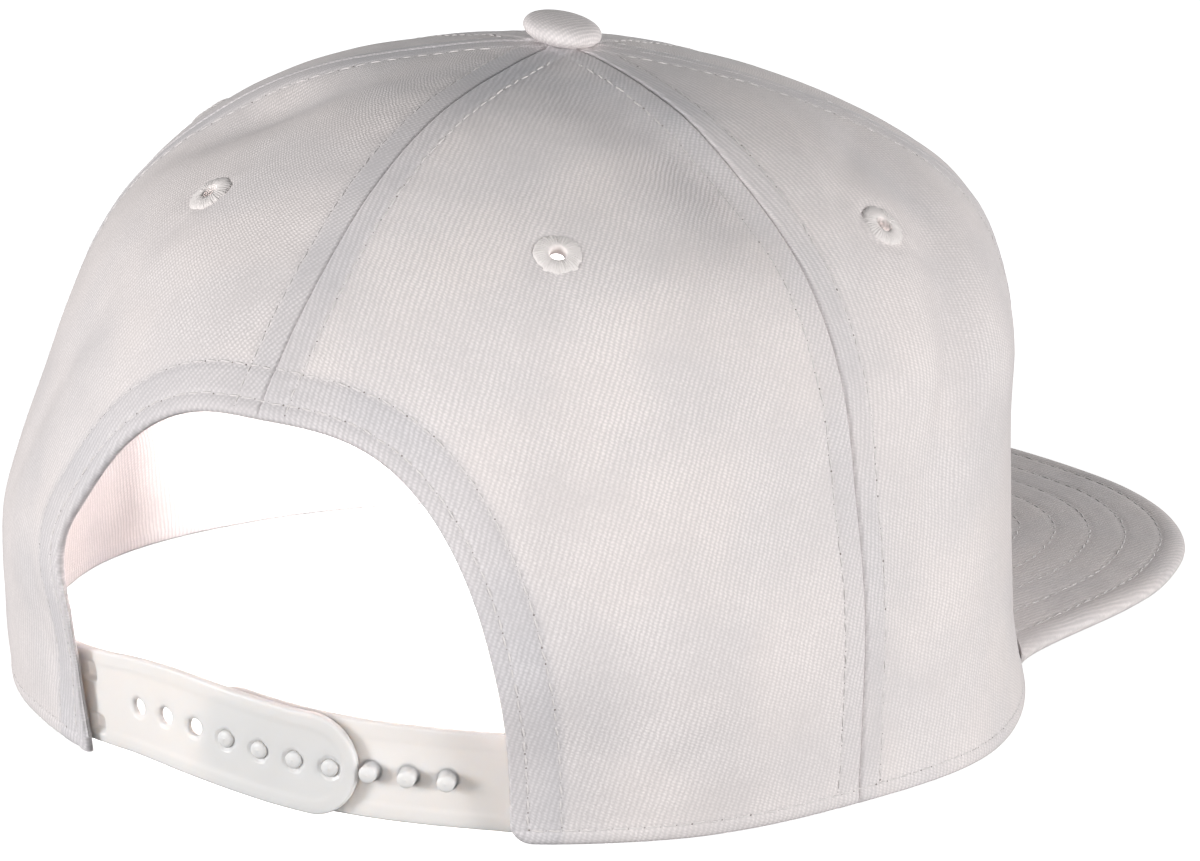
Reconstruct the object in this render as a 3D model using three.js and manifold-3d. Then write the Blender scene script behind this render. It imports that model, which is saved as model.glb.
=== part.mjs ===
// A six-panel snapback cap with a flat peak and a fastened two-piece snap strap.
// Millimetres, +Z up. The peak points to -Y, the arched back opening to +Y and the wearer's
// right is -X. The cap stands on its rim. Left and right in the names are the wearer's.
import * as THREE from 'three';
import { mergeVertices } from 'three/addons/utils/BufferGeometryUtils.js';
import Module from 'manifold-3d';

const wasm = await Module();
wasm.setup();

// ---- Crown
const CROWN_HEIGHT = 115; // rim to the outside of the cloth under the button
const RIM_HALF_WIDTH = 92; // button axis to the rim over each ear
const RIM_BACK_REACH = 96; // button axis to the outside of the strap
const RIM_FRONT_REACH = 97; // button axis to the rim above the peak
const CROWN_SHIFT = 2; // how far the very top leans to the wearer's right
const CLOTH = 1.6; // crown wall
const SEAM_GAP = 0.3; // slit left between two panels
const CLEARANCE = 0.3; // slit left between any other two pieces
const BACK_SEAM_TO_SIDE_SEAM = 68; // degrees around the crown from the centre back seam
const BACK_SEAM_TO_FRONT_SEAM = 120; // degrees around the crown to the seam before the ear

// ---- Back opening
const ARCH_HEIGHT = 68.5; // rim level to the top of the arch
const ARCH_RIGHT = 28.5; // degrees from the centre back to the right panel's lower corner
const ARCH_LEFT = 25.5; // degrees from the centre back to the left panel's lower corner
const ARCH_SIDE_POWER = 3; // how square the arch's sides stand
const ARCH_TOP_POWER = 2.2; // how flat the arch's top is

// ---- Button
const BUTTON_DIAMETER = 14.6;
const BUTTON_HEIGHT = 5.6; // cloth-covered head alone
const BUTTON_SHANK = 5; // diameter of the shank through the crown
const BUTTON_TILT = 5; // degrees, toward the wearer's right

// ---- Eyelets
const EYELET_DIAMETER = 8.4;
const EYELET_HOLE = 2.8;
const EYELET_PROUD = 0.5; // stands out of the cloth on both faces

// ---- Peak
const PEAK_LENGTH = 68.5; // crown front to the peak's front edge
const PEAK_FLARE = 7; // greatest half width past the crown's half width at the peak's corners
const PEAK_THICKNESS = 3.5;
const PEAK_CORNER = 118; // degrees from the centre back to the peak's rear corners
const PEAK_CORNER_STEP = 3; // width of the peak where it leaves the crown
const PEAK_CAMBER = 0.3; // how far the middle of the peak stands above its sides

// ---- Snap strap
const STRAP_THICKNESS = 1.7;
const STRAP_LIP = 0.4; // raised border above the strap's face
const STRAP_LIP_WIDTH = 1.8;
const STRAP_TUCK = 8; // degrees that each strap runs on behind its panel
const STRAP_INSET = 0.7; // slit between a strap and the panel in front of it
const LEFT_STRAP_HEIGHT = 17.8;
const LEFT_STRAP_LIFT = 1.5; // rim level to the strap's lower edge
const RIGHT_STRAP_HEIGHT = 17.2;
const RIGHT_STRAP_LIFT = 2.6;
const LEFT_STRAP_TIP = 12.3; // degrees past the centre back, toward the wearer's right
const HOLE_DIAMETER = 3.6;
const HOLE_PITCH = 7;
const HOLE_COUNT = 7;
const HOLES_IN_USE = 4;
const LAST_HOLE_FROM_TIP = 5.1; // strap tip to the nearest hole's centre
const PEG_PROUD = 0.5; // how far an engaged peg stands out of the strap with holes
const PEG_TIP_BEYOND = 4.5; // first peg's centre to where the pegged strap starts to round off

// Shape of the rim seen from above. Each row is a direction in degrees from the centre back;
// reach is a share of the ellipse through the back, side and front reaches.
const RIM_SHAPE = [
  { fromBack: 0, reach: 1.0 },
  { fromBack: 22.5, reach: 1.01 },
  { fromBack: 45, reach: 1.015 },
  { fromBack: 67.5, reach: 0.995 },
  { fromBack: 90, reach: 1.02 },
  { fromBack: 112.5, reach: 0.985 },
  { fromBack: 135, reach: 0.962 },
  { fromBack: 157.5, reach: 0.972 },
  { fromBack: 180, reach: 1.0 },
];

// Upright shape of the crown. rise is a share of CROWN_HEIGHT; the other columns are shares of
// the rim's own reach at the back, half way to the side, over the ear, half way to the front
// and at the front.
const CROWN_PROFILE = [
  { rise: 0, back: 1, backSide: 1, side: 1, frontSide: 1, front: 1 },
  { rise: 0.13, back: 1.04, backSide: 1.02, side: 0.98, frontSide: 0.96, front: 0.99 },
  { rise: 0.29, back: 1.1, backSide: 1.025, side: 0.965, frontSide: 0.945, front: 0.975 },
  { rise: 0.46, back: 1.08, backSide: 0.965, side: 0.945, frontSide: 0.935, front: 0.955 },
  { rise: 0.63, back: 0.965, backSide: 0.88, side: 0.915, frontSide: 0.925, front: 0.905 },
  { rise: 0.78, back: 0.79, backSide: 0.755, side: 0.785, frontSide: 0.845, front: 0.8 },
  { rise: 0.895, back: 0.6, backSide: 0.53, side: 0.58, frontSide: 0.59, front: 0.565 },
  { rise: 0.965, back: 0.365, backSide: 0.325, side: 0.32, frontSide: 0.295, front: 0.285 },
  { rise: 1, back: 0, backSide: 0, side: 0, frontSide: 0, front: 0 },
];

// Soft hollows (depth above 0) and bulges (below 0) of the worn cloth. fromBack is in degrees,
// positive toward the wearer's right; row is a place between the rows of CROWN_PROFILE; lean
// turns the long way of the hollow from upright; the lengths are shares of CROWN_HEIGHT.
const DENTS = [
  { fromBack: 58, row: 6.2, lean: -20, halfLength: 0.2, halfWidth: 0.065, depth: 0.02 },
  { fromBack: 57, row: 3.4, lean: 0, halfLength: 0.3, halfWidth: 0.08, depth: 0.008 },
  { fromBack: 88, row: 4.2, lean: 24, halfLength: 0.32, halfWidth: 0.06, depth: 0.02 },
  { fromBack: 100, row: 4.2, lean: 24, halfLength: 0.26, halfWidth: 0.08, depth: -0.01 },
  { fromBack: -52, row: 6.0, lean: 15, halfLength: 0.16, halfWidth: 0.07, depth: 0.018 },
  { fromBack: -66, row: 6.1, lean: 10, halfLength: 0.14, halfWidth: 0.06, depth: -0.014 },
  { fromBack: 40, row: 1.4, lean: 0, halfLength: 0.16, halfWidth: 0.09, depth: 0.008 },
];

// Side of the button's head: reach is a share of its radius, rise a share of its height.
const BUTTON_PROFILE = [
  { reach: 0.8, rise: 0 },
  { reach: 0.93, rise: 0.1 },
  { reach: 0.995, rise: 0.28 },
  { reach: 1, rise: 0.45 },
  { reach: 0.96, rise: 0.63 },
  { reach: 0.85, rise: 0.8 },
  { reach: 0.65, rise: 0.92 },
  { reach: 0.35, rise: 0.985 },
  { reach: 0, rise: 1 },
];

// Outline of the peak seen from above, from its front middle to a rear corner. across is a
// share of the peak's half width, forward a share of the way from the corners to the front.
const PEAK_OUTLINE = [
  { across: 0, forward: 1.0 },
  { across: 0.24, forward: 0.984 },
  { across: 0.48, forward: 0.937 },
  { across: 0.67, forward: 0.874 },
  { across: 0.82, forward: 0.78 },
  { across: 0.93, forward: 0.65 },
  { across: 0.988, forward: 0.487 },
  { across: 1.0, forward: 0.36 },
  { across: 0.988, forward: 0.216 },
  { across: 0.965, forward: 0.09 },
];

const CROWN_CLOTH = new THREE.MeshStandardMaterial({ color: 0xe6e0de, roughness: 0.95, metalness: 0 });
const THREAD = new THREE.MeshStandardMaterial({ color: 0xe2dcda, roughness: 0.7, metalness: 0 });
const SNAP_PLASTIC = new THREE.MeshStandardMaterial({ color: 0xeeeae7, roughness: 0.45, metalness: 0 });

const rad = THREE.MathUtils.degToRad;
const clamp = THREE.MathUtils.clamp;
const lerp = THREE.MathUtils.lerp;
const cap = new THREE.Group();

// Smooth curve through four neighbouring values, t from the second to the third.
function through(a, b, c, d, t) {
  return 0.5 * (2 * b + (c - a) * t + (2 * a - 5 * b + 4 * c - d) * t * t + (3 * b - a - 3 * c + d) * t * t * t);
}

function alongTable(values, at, before, after) {
  const i = clamp(Math.floor(at), 0, values.length - 2);
  const pick = (k) => (k < 0 ? before : k >= values.length ? after : values[k]);
  return through(pick(i - 1), pick(i), pick(i + 1), pick(i + 2), at - i);
}

// Outside of the rim in the direction fromBack.
function rimPoint(fromBack) {
  const away = Math.abs(((((fromBack + 180) % 360) + 360) % 360) - 180);
  const shares = RIM_SHAPE.map((r) => r.reach);
  const step = 180 / (shares.length - 1);
  const reach = alongTable(shares, away / step, shares[1], shares[shares.length - 2]);
  const t = rad(fromBack);
  const length = Math.cos(t) > 0 ? RIM_BACK_REACH : RIM_FRONT_REACH;
  return new THREE.Vector3(-RIM_HALF_WIDTH * reach * Math.sin(t), length * reach * Math.cos(t), 0);
}

const COLUMNS = ['back', 'backSide', 'side', 'frontSide', 'front'];
const TOP_ROW = CROWN_PROFILE.length - 1;

// Outside of the crown before any dents; row runs from 0 at the rim to TOP_ROW at the button.
function plainCrown(fromBack, row) {
  const away = Math.abs(((((fromBack + 180) % 360) + 360) % 360) - 180);
  const at = away / (180 / (COLUMNS.length - 1));
  const shares = CROWN_PROFILE.map((r) => {
    const v = COLUMNS.map((c) => r[c]);
    return alongTable(v, at, v[1], v[v.length - 2]);
  });
  const share = alongTable(shares, row, 2 * shares[0] - shares[1], -shares[TOP_ROW - 1]);
  const rises = CROWN_PROFILE.map((r) => r.rise);
  const rise = alongTable(rises, row, 2 * rises[0] - rises[1], rises[TOP_ROW - 1]);
  const p = rimPoint(fromBack).multiplyScalar(share);
  p.x -= CROWN_SHIFT * Math.pow(clamp(rise, 0, 1), 6);
  p.z = CROWN_HEIGHT * rise;
  return p;
}

function normalOf(surface, fromBack, row) {
  const d = 0.6;
  const e = 0.02;
  const around = surface(fromBack + d, row).sub(surface(fromBack - d, row));
  const up = surface(fromBack, Math.min(row + e, TOP_ROW)).sub(surface(fromBack, row - e));
  return around.cross(up).normalize();
}

const dents = DENTS.map((d) => {
  const centre = plainCrown(d.fromBack, d.row);
  const normal = normalOf(plainCrown, d.fromBack, d.row);
  const level = new THREE.Vector3(0, 0, 1).cross(normal).normalize();
  const upright = normal.clone().cross(level);
  const turn = rad(d.lean);
  const long = upright.clone().multiplyScalar(Math.cos(turn)).addScaledVector(level, Math.sin(turn));
  const wide = long.clone().cross(normal);
  return { ...d, centre, normal, long, wide };
});

// Outside of the crown with its dents.
function crown(fromBack, row) {
  const p = plainCrown(fromBack, row);
  const normal = normalOf(plainCrown, fromBack, row);
  let depth = 0;
  for (const d of dents) {
    const from = p.clone().sub(d.centre).divideScalar(CROWN_HEIGHT);
    const a = from.dot(d.wide) / d.halfWidth;
    const b = from.dot(d.long) / d.halfLength;
    const c = from.dot(d.normal) / 0.25;
    depth += CROWN_HEIGHT * d.depth * Math.exp(-a * a - b * b - c * c);
  }
  return p.addScaledVector(normal, -depth);
}

function rowAtHeight(z) {
  let low = 0;
  let high = TOP_ROW;
  for (let i = 0; i < 40; i += 1) {
    const middle = (low + high) / 2;
    if (plainCrown(90, middle).z < z) low = middle;
    else high = middle;
  }
  return (low + high) / 2;
}

// Row where the crown's own reach from its top is the given radius.
function rowAtRadius(fromBack, radius) {
  let low = TOP_ROW - 1;
  let high = TOP_ROW;
  const top = plainCrown(0, TOP_ROW);
  for (let i = 0; i < 40; i += 1) {
    const middle = (low + high) / 2;
    const p = plainCrown(fromBack, middle);
    if (Math.hypot(p.x - top.x, p.y - top.y) > radius) low = middle;
    else high = middle;
  }
  return (low + high) / 2;
}

// Closed sheet between two grids of points, outer[i][j] and inner[i][j], i along and j across.
function closedSheet(outer, inner) {
  const rows = outer.length;
  const cols = outer[0].length;
  const points = [];
  const index = [];
  for (const grid of [outer, inner]) for (const line of grid) for (const p of line) points.push(p.x, p.y, p.z);
  const o = (i, j) => i * cols + j;
  const n = (i, j) => rows * cols + i * cols + j;
  const quad = (a, b, c, d) => index.push(a, b, c, a, c, d);
  for (let i = 0; i < rows - 1; i += 1) {
    for (let j = 0; j < cols - 1; j += 1) {
      quad(o(i, j), o(i, j + 1), o(i + 1, j + 1), o(i + 1, j));
      quad(n(i, j), n(i + 1, j), n(i + 1, j + 1), n(i, j + 1));
    }
  }
  for (let j = 0; j < cols - 1; j += 1) {
    quad(o(0, j + 1), o(0, j), n(0, j), n(0, j + 1));
    quad(o(rows - 1, j), o(rows - 1, j + 1), n(rows - 1, j + 1), n(rows - 1, j));
  }
  for (let i = 0; i < rows - 1; i += 1) {
    quad(o(i, 0), o(i + 1, 0), n(i + 1, 0), n(i, 0));
    quad(o(i + 1, cols - 1), o(i, cols - 1), n(i, cols - 1), n(i + 1, cols - 1));
  }
  const geometry = new THREE.BufferGeometry();
  geometry.setAttribute('position', new THREE.Float32BufferAttribute(points, 3));
  geometry.setIndex(index);
  return facingOut(geometry);
}

// Turns every triangle round when the body is inside out.
function facingOut(geometry) {
  const p = geometry.attributes.position;
  const index = geometry.index.array;
  const a = new THREE.Vector3();
  const b = new THREE.Vector3();
  const c = new THREE.Vector3();
  let volume = 0;
  for (let i = 0; i < index.length; i += 3) {
    a.fromBufferAttribute(p, index[i]);
    b.fromBufferAttribute(p, index[i + 1]);
    c.fromBufferAttribute(p, index[i + 2]);
    volume += a.dot(b.cross(c));
  }
  if (volume < 0) {
    const turned = Array.from(index);
    for (let i = 0; i < turned.length; i += 3) [turned[i], turned[i + 1]] = [turned[i + 1], turned[i]];
    geometry.setIndex(turned);
  }
  return geometry;
}

function solidOf(geometry) {
  const plain = geometry.clone();
  for (const name of Object.keys(plain.attributes)) if (name !== 'position') plain.deleteAttribute(name);
  const merged = facingOut(mergeVertices(plain, 1e-4));
  return new wasm.Manifold(
    new wasm.Mesh({
      numProp: 3,
      vertProperties: new Float32Array(merged.attributes.position.array),
      triVerts: new Uint32Array(merged.index.array),
    })
  );
}

function geometryOf(solid) {
  const mesh = solid.getMesh();
  const geometry = new THREE.BufferGeometry();
  geometry.setAttribute('position', new THREE.Float32BufferAttribute(Array.from(mesh.vertProperties), 3));
  geometry.setIndex(Array.from(mesh.triVerts));
  return geometry;
}

// A turned body standing at `at` with its axis along `axis`.
function turned(profile, sides, at, axis) {
  const geometry = new THREE.LatheGeometry(
    profile.map(([r, h]) => new THREE.Vector2(r, h)),
    sides
  );
  geometry.applyQuaternion(new THREE.Quaternion().setFromUnitVectors(new THREE.Vector3(0, 1, 0), axis));
  geometry.translate(at.x, at.y, at.z);
  for (const name of ['normal', 'uv']) geometry.deleteAttribute(name);
  return facingOut(mergeVertices(geometry, 1e-4));
}

function addPiece(name, geometry, material) {
  const shown = geometry.index ? geometry.toNonIndexed() : geometry;
  shown.computeVertexNormals();
  const mesh = new THREE.Mesh(shown, material);
  mesh.name = name;
  cap.add(mesh);
}

const EYELETS = {
  back: { fromBack: 31.5, row: 5.3 },
  side: { fromBack: 86, row: 5.25 },
  front: { fromBack: 150, row: 5.3 },
};

// Cuts the eyelet's seat into a panel and returns the seat's place and axis.
function eyeletSeat(kind, side) {
  const spot = EYELETS[kind];
  const at = crown(side * spot.fromBack, spot.row);
  const axis = normalOf(crown, side * spot.fromBack, spot.row);
  return { at: at.clone().addScaledVector(axis, -CLOTH / 2), axis };
}

// Panel between two edges. Each edge gives, for t from 0 at the rim to 1 at the top, its
// direction and row; the points move by half a seam gap away from a seam edge, and the rim is level.
function panel(name, kind, side, edgeA, edgeB, steps, acrossSteps, seamA) {
  const outer = [];
  const inner = [];
  for (let i = 0; i <= steps.length - 1; i += 1) {
    const a = edgeA(steps[i]);
    const b = edgeB(steps[i]);
    const outerLine = [];
    const innerLine = [];
    for (let j = 0; j <= acrossSteps; j += 1) {
      const s = j / acrossSteps;
      const fromBack = side * lerp(a.fromBack, b.fromBack, s);
      const row = lerp(a.row, b.row, s);
      const p = crown(fromBack, row);
      const normal = normalOf(crown, fromBack, row);
      const level = new THREE.Vector3(0, 0, 1).cross(normal).normalize().multiplyScalar(side);
      if (j === 0 && seamA(steps[i])) p.addScaledVector(level, SEAM_GAP / 2);
      if (j === acrossSteps) p.addScaledVector(level, -SEAM_GAP / 2);
      if (i === 0) {
        p.z = 0;
        normal.setZ(0).normalize();
      }
      outerLine.push(p);
      innerLine.push(p.clone().addScaledVector(normal, -CLOTH));
    }
    outer.push(outerLine);
    inner.push(innerLine);
  }
  const seat = eyeletSeat(kind, side);
  const r = EYELET_DIAMETER / 2 + CLEARANCE;
  const deep = CLOTH * 3;
  const drill = turned([[0, -deep], [r, -deep], [r, deep], [0, deep]], 16, seat.at, seat.axis);
  const cloth = solidOf(closedSheet(outer, inner)).subtract(solidOf(drill));
  addPiece(name, geometryOf(cloth), CROWN_CLOTH);
}

const TOP_HOLE = BUTTON_SHANK / 2 + 2 * CLEARANCE;

function seamEdge(fromBack) {
  return (t) => ({ fromBack, row: lerp(0, rowAtRadius(fromBack, TOP_HOLE), t) });
}

// The arch's half edge, from the rim (w = 0) to its top on the centre seam (w = 1).
function archEdge(halfAngle, w) {
  const a = (w * Math.PI) / 2;
  return {
    fromBack: halfAngle * Math.pow(Math.cos(a), 2 / ARCH_SIDE_POWER),
    row: rowAtHeight(ARCH_HEIGHT * Math.pow(Math.sin(a), 2 / ARCH_TOP_POWER)),
  };
}

const evenSteps = (n) => Array.from({ length: n + 1 }, (_, i) => i / n);

for (const [sideName, side, archHalf] of [['left', -1, ARCH_LEFT], ['right', 1, ARCH_RIGHT]]) {
  panel(`panel_side_${sideName}`, 'side', side, seamEdge(BACK_SEAM_TO_SIDE_SEAM),
    seamEdge(BACK_SEAM_TO_FRONT_SEAM), evenSteps(16), 8, () => true);
  panel(`panel_front_${sideName}`, 'front', side, seamEdge(BACK_SEAM_TO_FRONT_SEAM), seamEdge(180),
    evenSteps(16), 9, () => true);

  // The back panel's inner edge climbs the arch for the first half and the centre seam after it.
  const half = 0.5;
  const archTop = rowAtHeight(ARCH_HEIGHT);
  const top = rowAtRadius(0, TOP_HOLE);
  const inside = (t) => {
    if (t < half) return archEdge(archHalf, Math.pow(t / half, 1.15));
    return { fromBack: 0, row: lerp(archTop, top, (t - half) / half) };
  };
  const sideTop = rowAtRadius(BACK_SEAM_TO_SIDE_SEAM, TOP_HOLE);
  const level = lerp(archTop, sideTop, 0.22);
  const outside = (t) => ({
    fromBack: BACK_SEAM_TO_SIDE_SEAM,
    row: t < half ? lerp(0, level, t / half) : lerp(level, sideTop, (t - half) / half),
  });
  panel(`panel_back_${sideName}`, 'back', side, inside, outside, evenSteps(20), 9, (t) => t >= half);
}

function button() {
  const top = crown(0, TOP_ROW);
  const tilt = rad(BUTTON_TILT);
  const axis = new THREE.Vector3(-Math.sin(tilt), 0, Math.cos(tilt));
  const r = BUTTON_DIAMETER / 2;
  const shank = BUTTON_SHANK / 2;
  const seat = CLEARANCE + r * Math.sin(tilt);
  const profile = [[0, -CLOTH - 1], [shank, -CLOTH - 1], [shank, seat]];
  for (const { reach, rise } of BUTTON_PROFILE) profile.push([r * reach, seat + BUTTON_HEIGHT * rise]);
  addPiece('button', turned(profile, 24, top, axis), CROWN_CLOTH);
}
button();

function eyelet(name, kind, side) {
  const seat = eyeletSeat(kind, side);
  const hole = EYELET_HOLE / 2;
  const r = EYELET_DIAMETER / 2;
  const h = CLOTH / 2 + EYELET_PROUD;
  const profile = [
    [hole, -h * 0.5], [hole, h * 0.5], [hole + 0.6, h], [r - 0.6, h], [r, h * 0.5],
    [r, -h * 0.5], [r - 0.6, -h], [hole + 0.6, -h], [hole, -h * 0.5],
  ];
  addPiece(name, turned(profile, 16, seat.at, seat.axis), THREAD);
}
for (const kind of ['front', 'side', 'back']) {
  eyelet(`eyelet_${kind}_left`, kind, -1);
  eyelet(`eyelet_${kind}_right`, kind, 1);
}

// The peak follows the crown's rim between its two rear corners and is flat but for its camber.
function peak() {
  const corner = rimPoint(PEAK_CORNER);
  const halfWidth = Math.abs(corner.x) + PEAK_FLARE;
  const reach = RIM_FRONT_REACH + PEAK_LENGTH + corner.y;
  const edge = new THREE.CatmullRomCurve3(
    PEAK_OUTLINE.map((r) => new THREE.Vector3(halfWidth * r.across, corner.y - reach * r.forward, 0)),
    false,
    'centripetal'
  );
  const across = 17;
  const deep = 5;
  const rows = [[], [], [], []];
  const top = [];
  const bottom = [];
  const bevel = PEAK_THICKNESS * 0.3;
  for (let j = -across; j <= across; j += 1) {
    const s = Math.abs(j) / across;
    const way = Math.sign(j);
    const fromBack = 180 - (180 - PEAK_CORNER) * s;
    const near = rimPoint(fromBack);
    const ahead = rimPoint(fromBack - 0.5).sub(rimPoint(fromBack + 0.5)).normalize();
    const out = new THREE.Vector3(-ahead.y, ahead.x, 0);
    if (out.dot(near) < 0) out.negate();
    near.addScaledVector(out, CLEARANCE + 0.1);
    near.x = Math.abs(near.x);
    const far = edge.getPointAt(s);
    const cornerFar = near.clone().add(new THREE.Vector3(Math.abs(out.x), out.y, 0).multiplyScalar(PEAK_CORNER_STEP));
    const blend = Math.pow(s, 10);
    far.lerp(cornerFar, blend);
    const topLine = [];
    const bottomLine = [];
    const width = far.distanceTo(near);
    for (let i = 0; i <= deep; i += 1) {
      let q = i / deep;
      if (i === deep - 1) q = 1 - Math.min(bevel / width, 0.4 / deep);
      const p = near.clone().lerp(far, q);
      const x = p.x / halfWidth;
      const base = PEAK_CAMBER * (1 - x * x);
      const round = i === deep ? bevel : 0;
      p.x *= way;
      topLine.push(new THREE.Vector3(p.x, p.y, base + PEAK_THICKNESS - round));
      bottomLine.push(new THREE.Vector3(p.x, p.y, base + round));
    }
    top.push(topLine);
    bottom.push(bottomLine);
  }
  addPiece('peak', closedSheet(top, bottom), CROWN_CLOTH);
}
peak();

// ---- The two straps lie along the rim's own curve behind the opening.
const PITCH = THREE.MathUtils.radToDeg(HOLE_PITCH / RIM_BACK_REACH);
const LAST_HOLE = LEFT_STRAP_TIP - THREE.MathUtils.radToDeg(LAST_HOLE_FROM_TIP / RIM_BACK_REACH);
const FIRST_PEG = LAST_HOLE - PITCH * (HOLES_IN_USE - 1);
const RIGHT_STRAP_TIP = FIRST_PEG - THREE.MathUtils.radToDeg(
  (PEG_TIP_BEYOND + RIGHT_STRAP_HEIGHT * 0.1) / RIM_BACK_REACH
);
const BEHIND_PANEL = CLOTH + STRAP_INSET;
const BEHIND_STRAP = STRAP_THICKNESS + STRAP_LIP + CLEARANCE;

// How far the outer face of a strap lies inside the rim's outline.
function leftInset(fromBack) {
  const t = clamp((-fromBack - (ARCH_LEFT - 7)) / 6, 0, 1);
  return BEHIND_PANEL * t * t * (3 - 2 * t);
}
function rightInset() {
  return BEHIND_STRAP;
}

function strapFrame(fromBack, inset) {
  const at = rimPoint(fromBack);
  const along = rimPoint(fromBack + 0.5).sub(rimPoint(fromBack - 0.5)).normalize();
  const out = new THREE.Vector3(along.y, -along.x, 0);
  if (out.dot(at) < 0) out.negate();
  return { at: at.addScaledVector(out, -inset(fromBack)), out };
}

// Strap from `start` behind its panel to a rounded tip; both are directions from the back.
function strap(start, tip, height, lift, inset) {
  const radius = THREE.MathUtils.radToDeg(height / 2 / RIM_BACK_REACH);
  const way = Math.sign(tip - start);
  const stations = [];
  const body = 20;
  for (let i = 0; i <= body; i += 1) stations.push(lerp(start, tip - way * radius, i / body));
  for (const q of [0.35, 0.62, 0.82, 0.94, 0.99]) stations.push(tip - way * radius * (1 - q));
  const face = STRAP_THICKNESS;
  const outer = [];
  const inner = [];
  for (const fromBack of stations) {
    const q = clamp(1 - Math.abs(tip - fromBack) / radius, 0, 1);
    const half = (height / 2) * Math.sqrt(1 - q * q);
    const { at, out } = strapFrame(fromBack, inset);
    const lip = Math.min(STRAP_LIP_WIDTH, half * 0.5);
    const recess = half > STRAP_LIP_WIDTH * 2 ? STRAP_LIP : STRAP_LIP * 0.5;
    const outerLine = [];
    const innerLine = [];
    for (const [h, d] of [[-half, 0.35], [-half + 0.35, 0], [-half + lip, 0], [-half + lip + 0.3, recess],
      [half - lip - 0.3, recess], [half - lip, 0], [half - 0.35, 0], [half, 0.35]]) {
      const p = at.clone().addScaledVector(out, -d);
      p.z = lift + height / 2 + h;
      outerLine.push(p);
      const b = at.clone().addScaledVector(out, -face);
      b.z = p.z;
      innerLine.push(b);
    }
    outer.push(outerLine);
    inner.push(innerLine);
  }
  return closedSheet(outer, inner);
}

function strapWithHoles() {
  let solid = solidOf(strap(-(ARCH_LEFT + STRAP_TUCK), LEFT_STRAP_TIP, LEFT_STRAP_HEIGHT, LEFT_STRAP_LIFT, leftInset));
  for (let i = 0; i < HOLE_COUNT; i += 1) {
    const { at, out } = strapFrame(LAST_HOLE - PITCH * i, leftInset);
    at.z = LEFT_STRAP_LIFT + LEFT_STRAP_HEIGHT / 2;
    const r = HOLE_DIAMETER / 2;
    const deep = STRAP_THICKNESS * 3;
    solid = solid.subtract(solidOf(turned([[0, -deep], [r, -deep], [r, deep], [0, deep]], 16, at, out)));
  }
  addPiece('strap_with_holes', geometryOf(solid), SNAP_PLASTIC);
}
strapWithHoles();

function strapWithPegs() {
  let solid = solidOf(
    strap(ARCH_RIGHT + STRAP_TUCK, RIGHT_STRAP_TIP, RIGHT_STRAP_HEIGHT, RIGHT_STRAP_LIFT, rightInset)
  );
  const r = HOLE_DIAMETER / 2 - CLEARANCE;
  const proud = BEHIND_STRAP + PEG_PROUD;
  for (let i = 0; i < HOLE_COUNT; i += 1) {
    const { at, out } = strapFrame(FIRST_PEG + PITCH * i, rightInset);
    at.z = LEFT_STRAP_LIFT + LEFT_STRAP_HEIGHT / 2;
    const root = -STRAP_THICKNESS * 0.6;
    const peg = turned([[0, root], [r, root], [r, proud - 0.5], [r * 0.6, proud - 0.08], [0, proud]], 16, at, out);
    solid = solid.add(solidOf(peg));
  }
  addPiece('strap_with_pegs', geometryOf(solid), SNAP_PLASTIC);
}
strapWithPegs();

// The origin is the middle of the cap's box, on the surface that it stands on.
const box = new THREE.Box3().setFromObject(cap);
const middle = box.getCenter(new THREE.Vector3());
cap.position.set(-middle.x, -middle.y, -box.min.z);

export default cap;
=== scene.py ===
# %% [markdown]
# # A snapback cap, seen from behind
# The cap is six cloth panels, a covered button, stitched eyelets, a flat peak and a snap strap in
# two halves. The packed model gives their sizes and places, in metres, and every piece below is
# made again at full detail in the same place. Lengths in this lesson are in millimetres from the
# button's axis, because a cap maker thinks in them, and they become metres when a mesh is made.

# %% Load the packed cap
import math
import bpy
import numpy as np
from mathutils import Matrix, Vector, noise


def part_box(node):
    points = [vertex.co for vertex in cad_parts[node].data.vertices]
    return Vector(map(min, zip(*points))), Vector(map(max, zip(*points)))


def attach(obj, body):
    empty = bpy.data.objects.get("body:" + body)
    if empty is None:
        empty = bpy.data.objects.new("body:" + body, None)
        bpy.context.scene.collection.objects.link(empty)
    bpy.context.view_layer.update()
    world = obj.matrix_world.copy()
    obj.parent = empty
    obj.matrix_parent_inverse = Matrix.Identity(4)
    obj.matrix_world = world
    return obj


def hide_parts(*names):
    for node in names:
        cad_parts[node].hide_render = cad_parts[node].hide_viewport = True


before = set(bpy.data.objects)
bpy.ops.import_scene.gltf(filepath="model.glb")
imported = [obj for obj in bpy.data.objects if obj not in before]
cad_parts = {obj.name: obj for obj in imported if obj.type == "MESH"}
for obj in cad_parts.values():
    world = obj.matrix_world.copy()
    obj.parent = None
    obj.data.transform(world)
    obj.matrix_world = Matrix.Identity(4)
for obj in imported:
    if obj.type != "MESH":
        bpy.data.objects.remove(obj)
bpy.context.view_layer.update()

# %% [markdown]
# The sizes are the ones that the solid model is built from, so what is dressed here meets what
# carries it. The peak's box tells where the button's axis stands in the packed frame, and one
# offset takes millimetres there.

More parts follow.
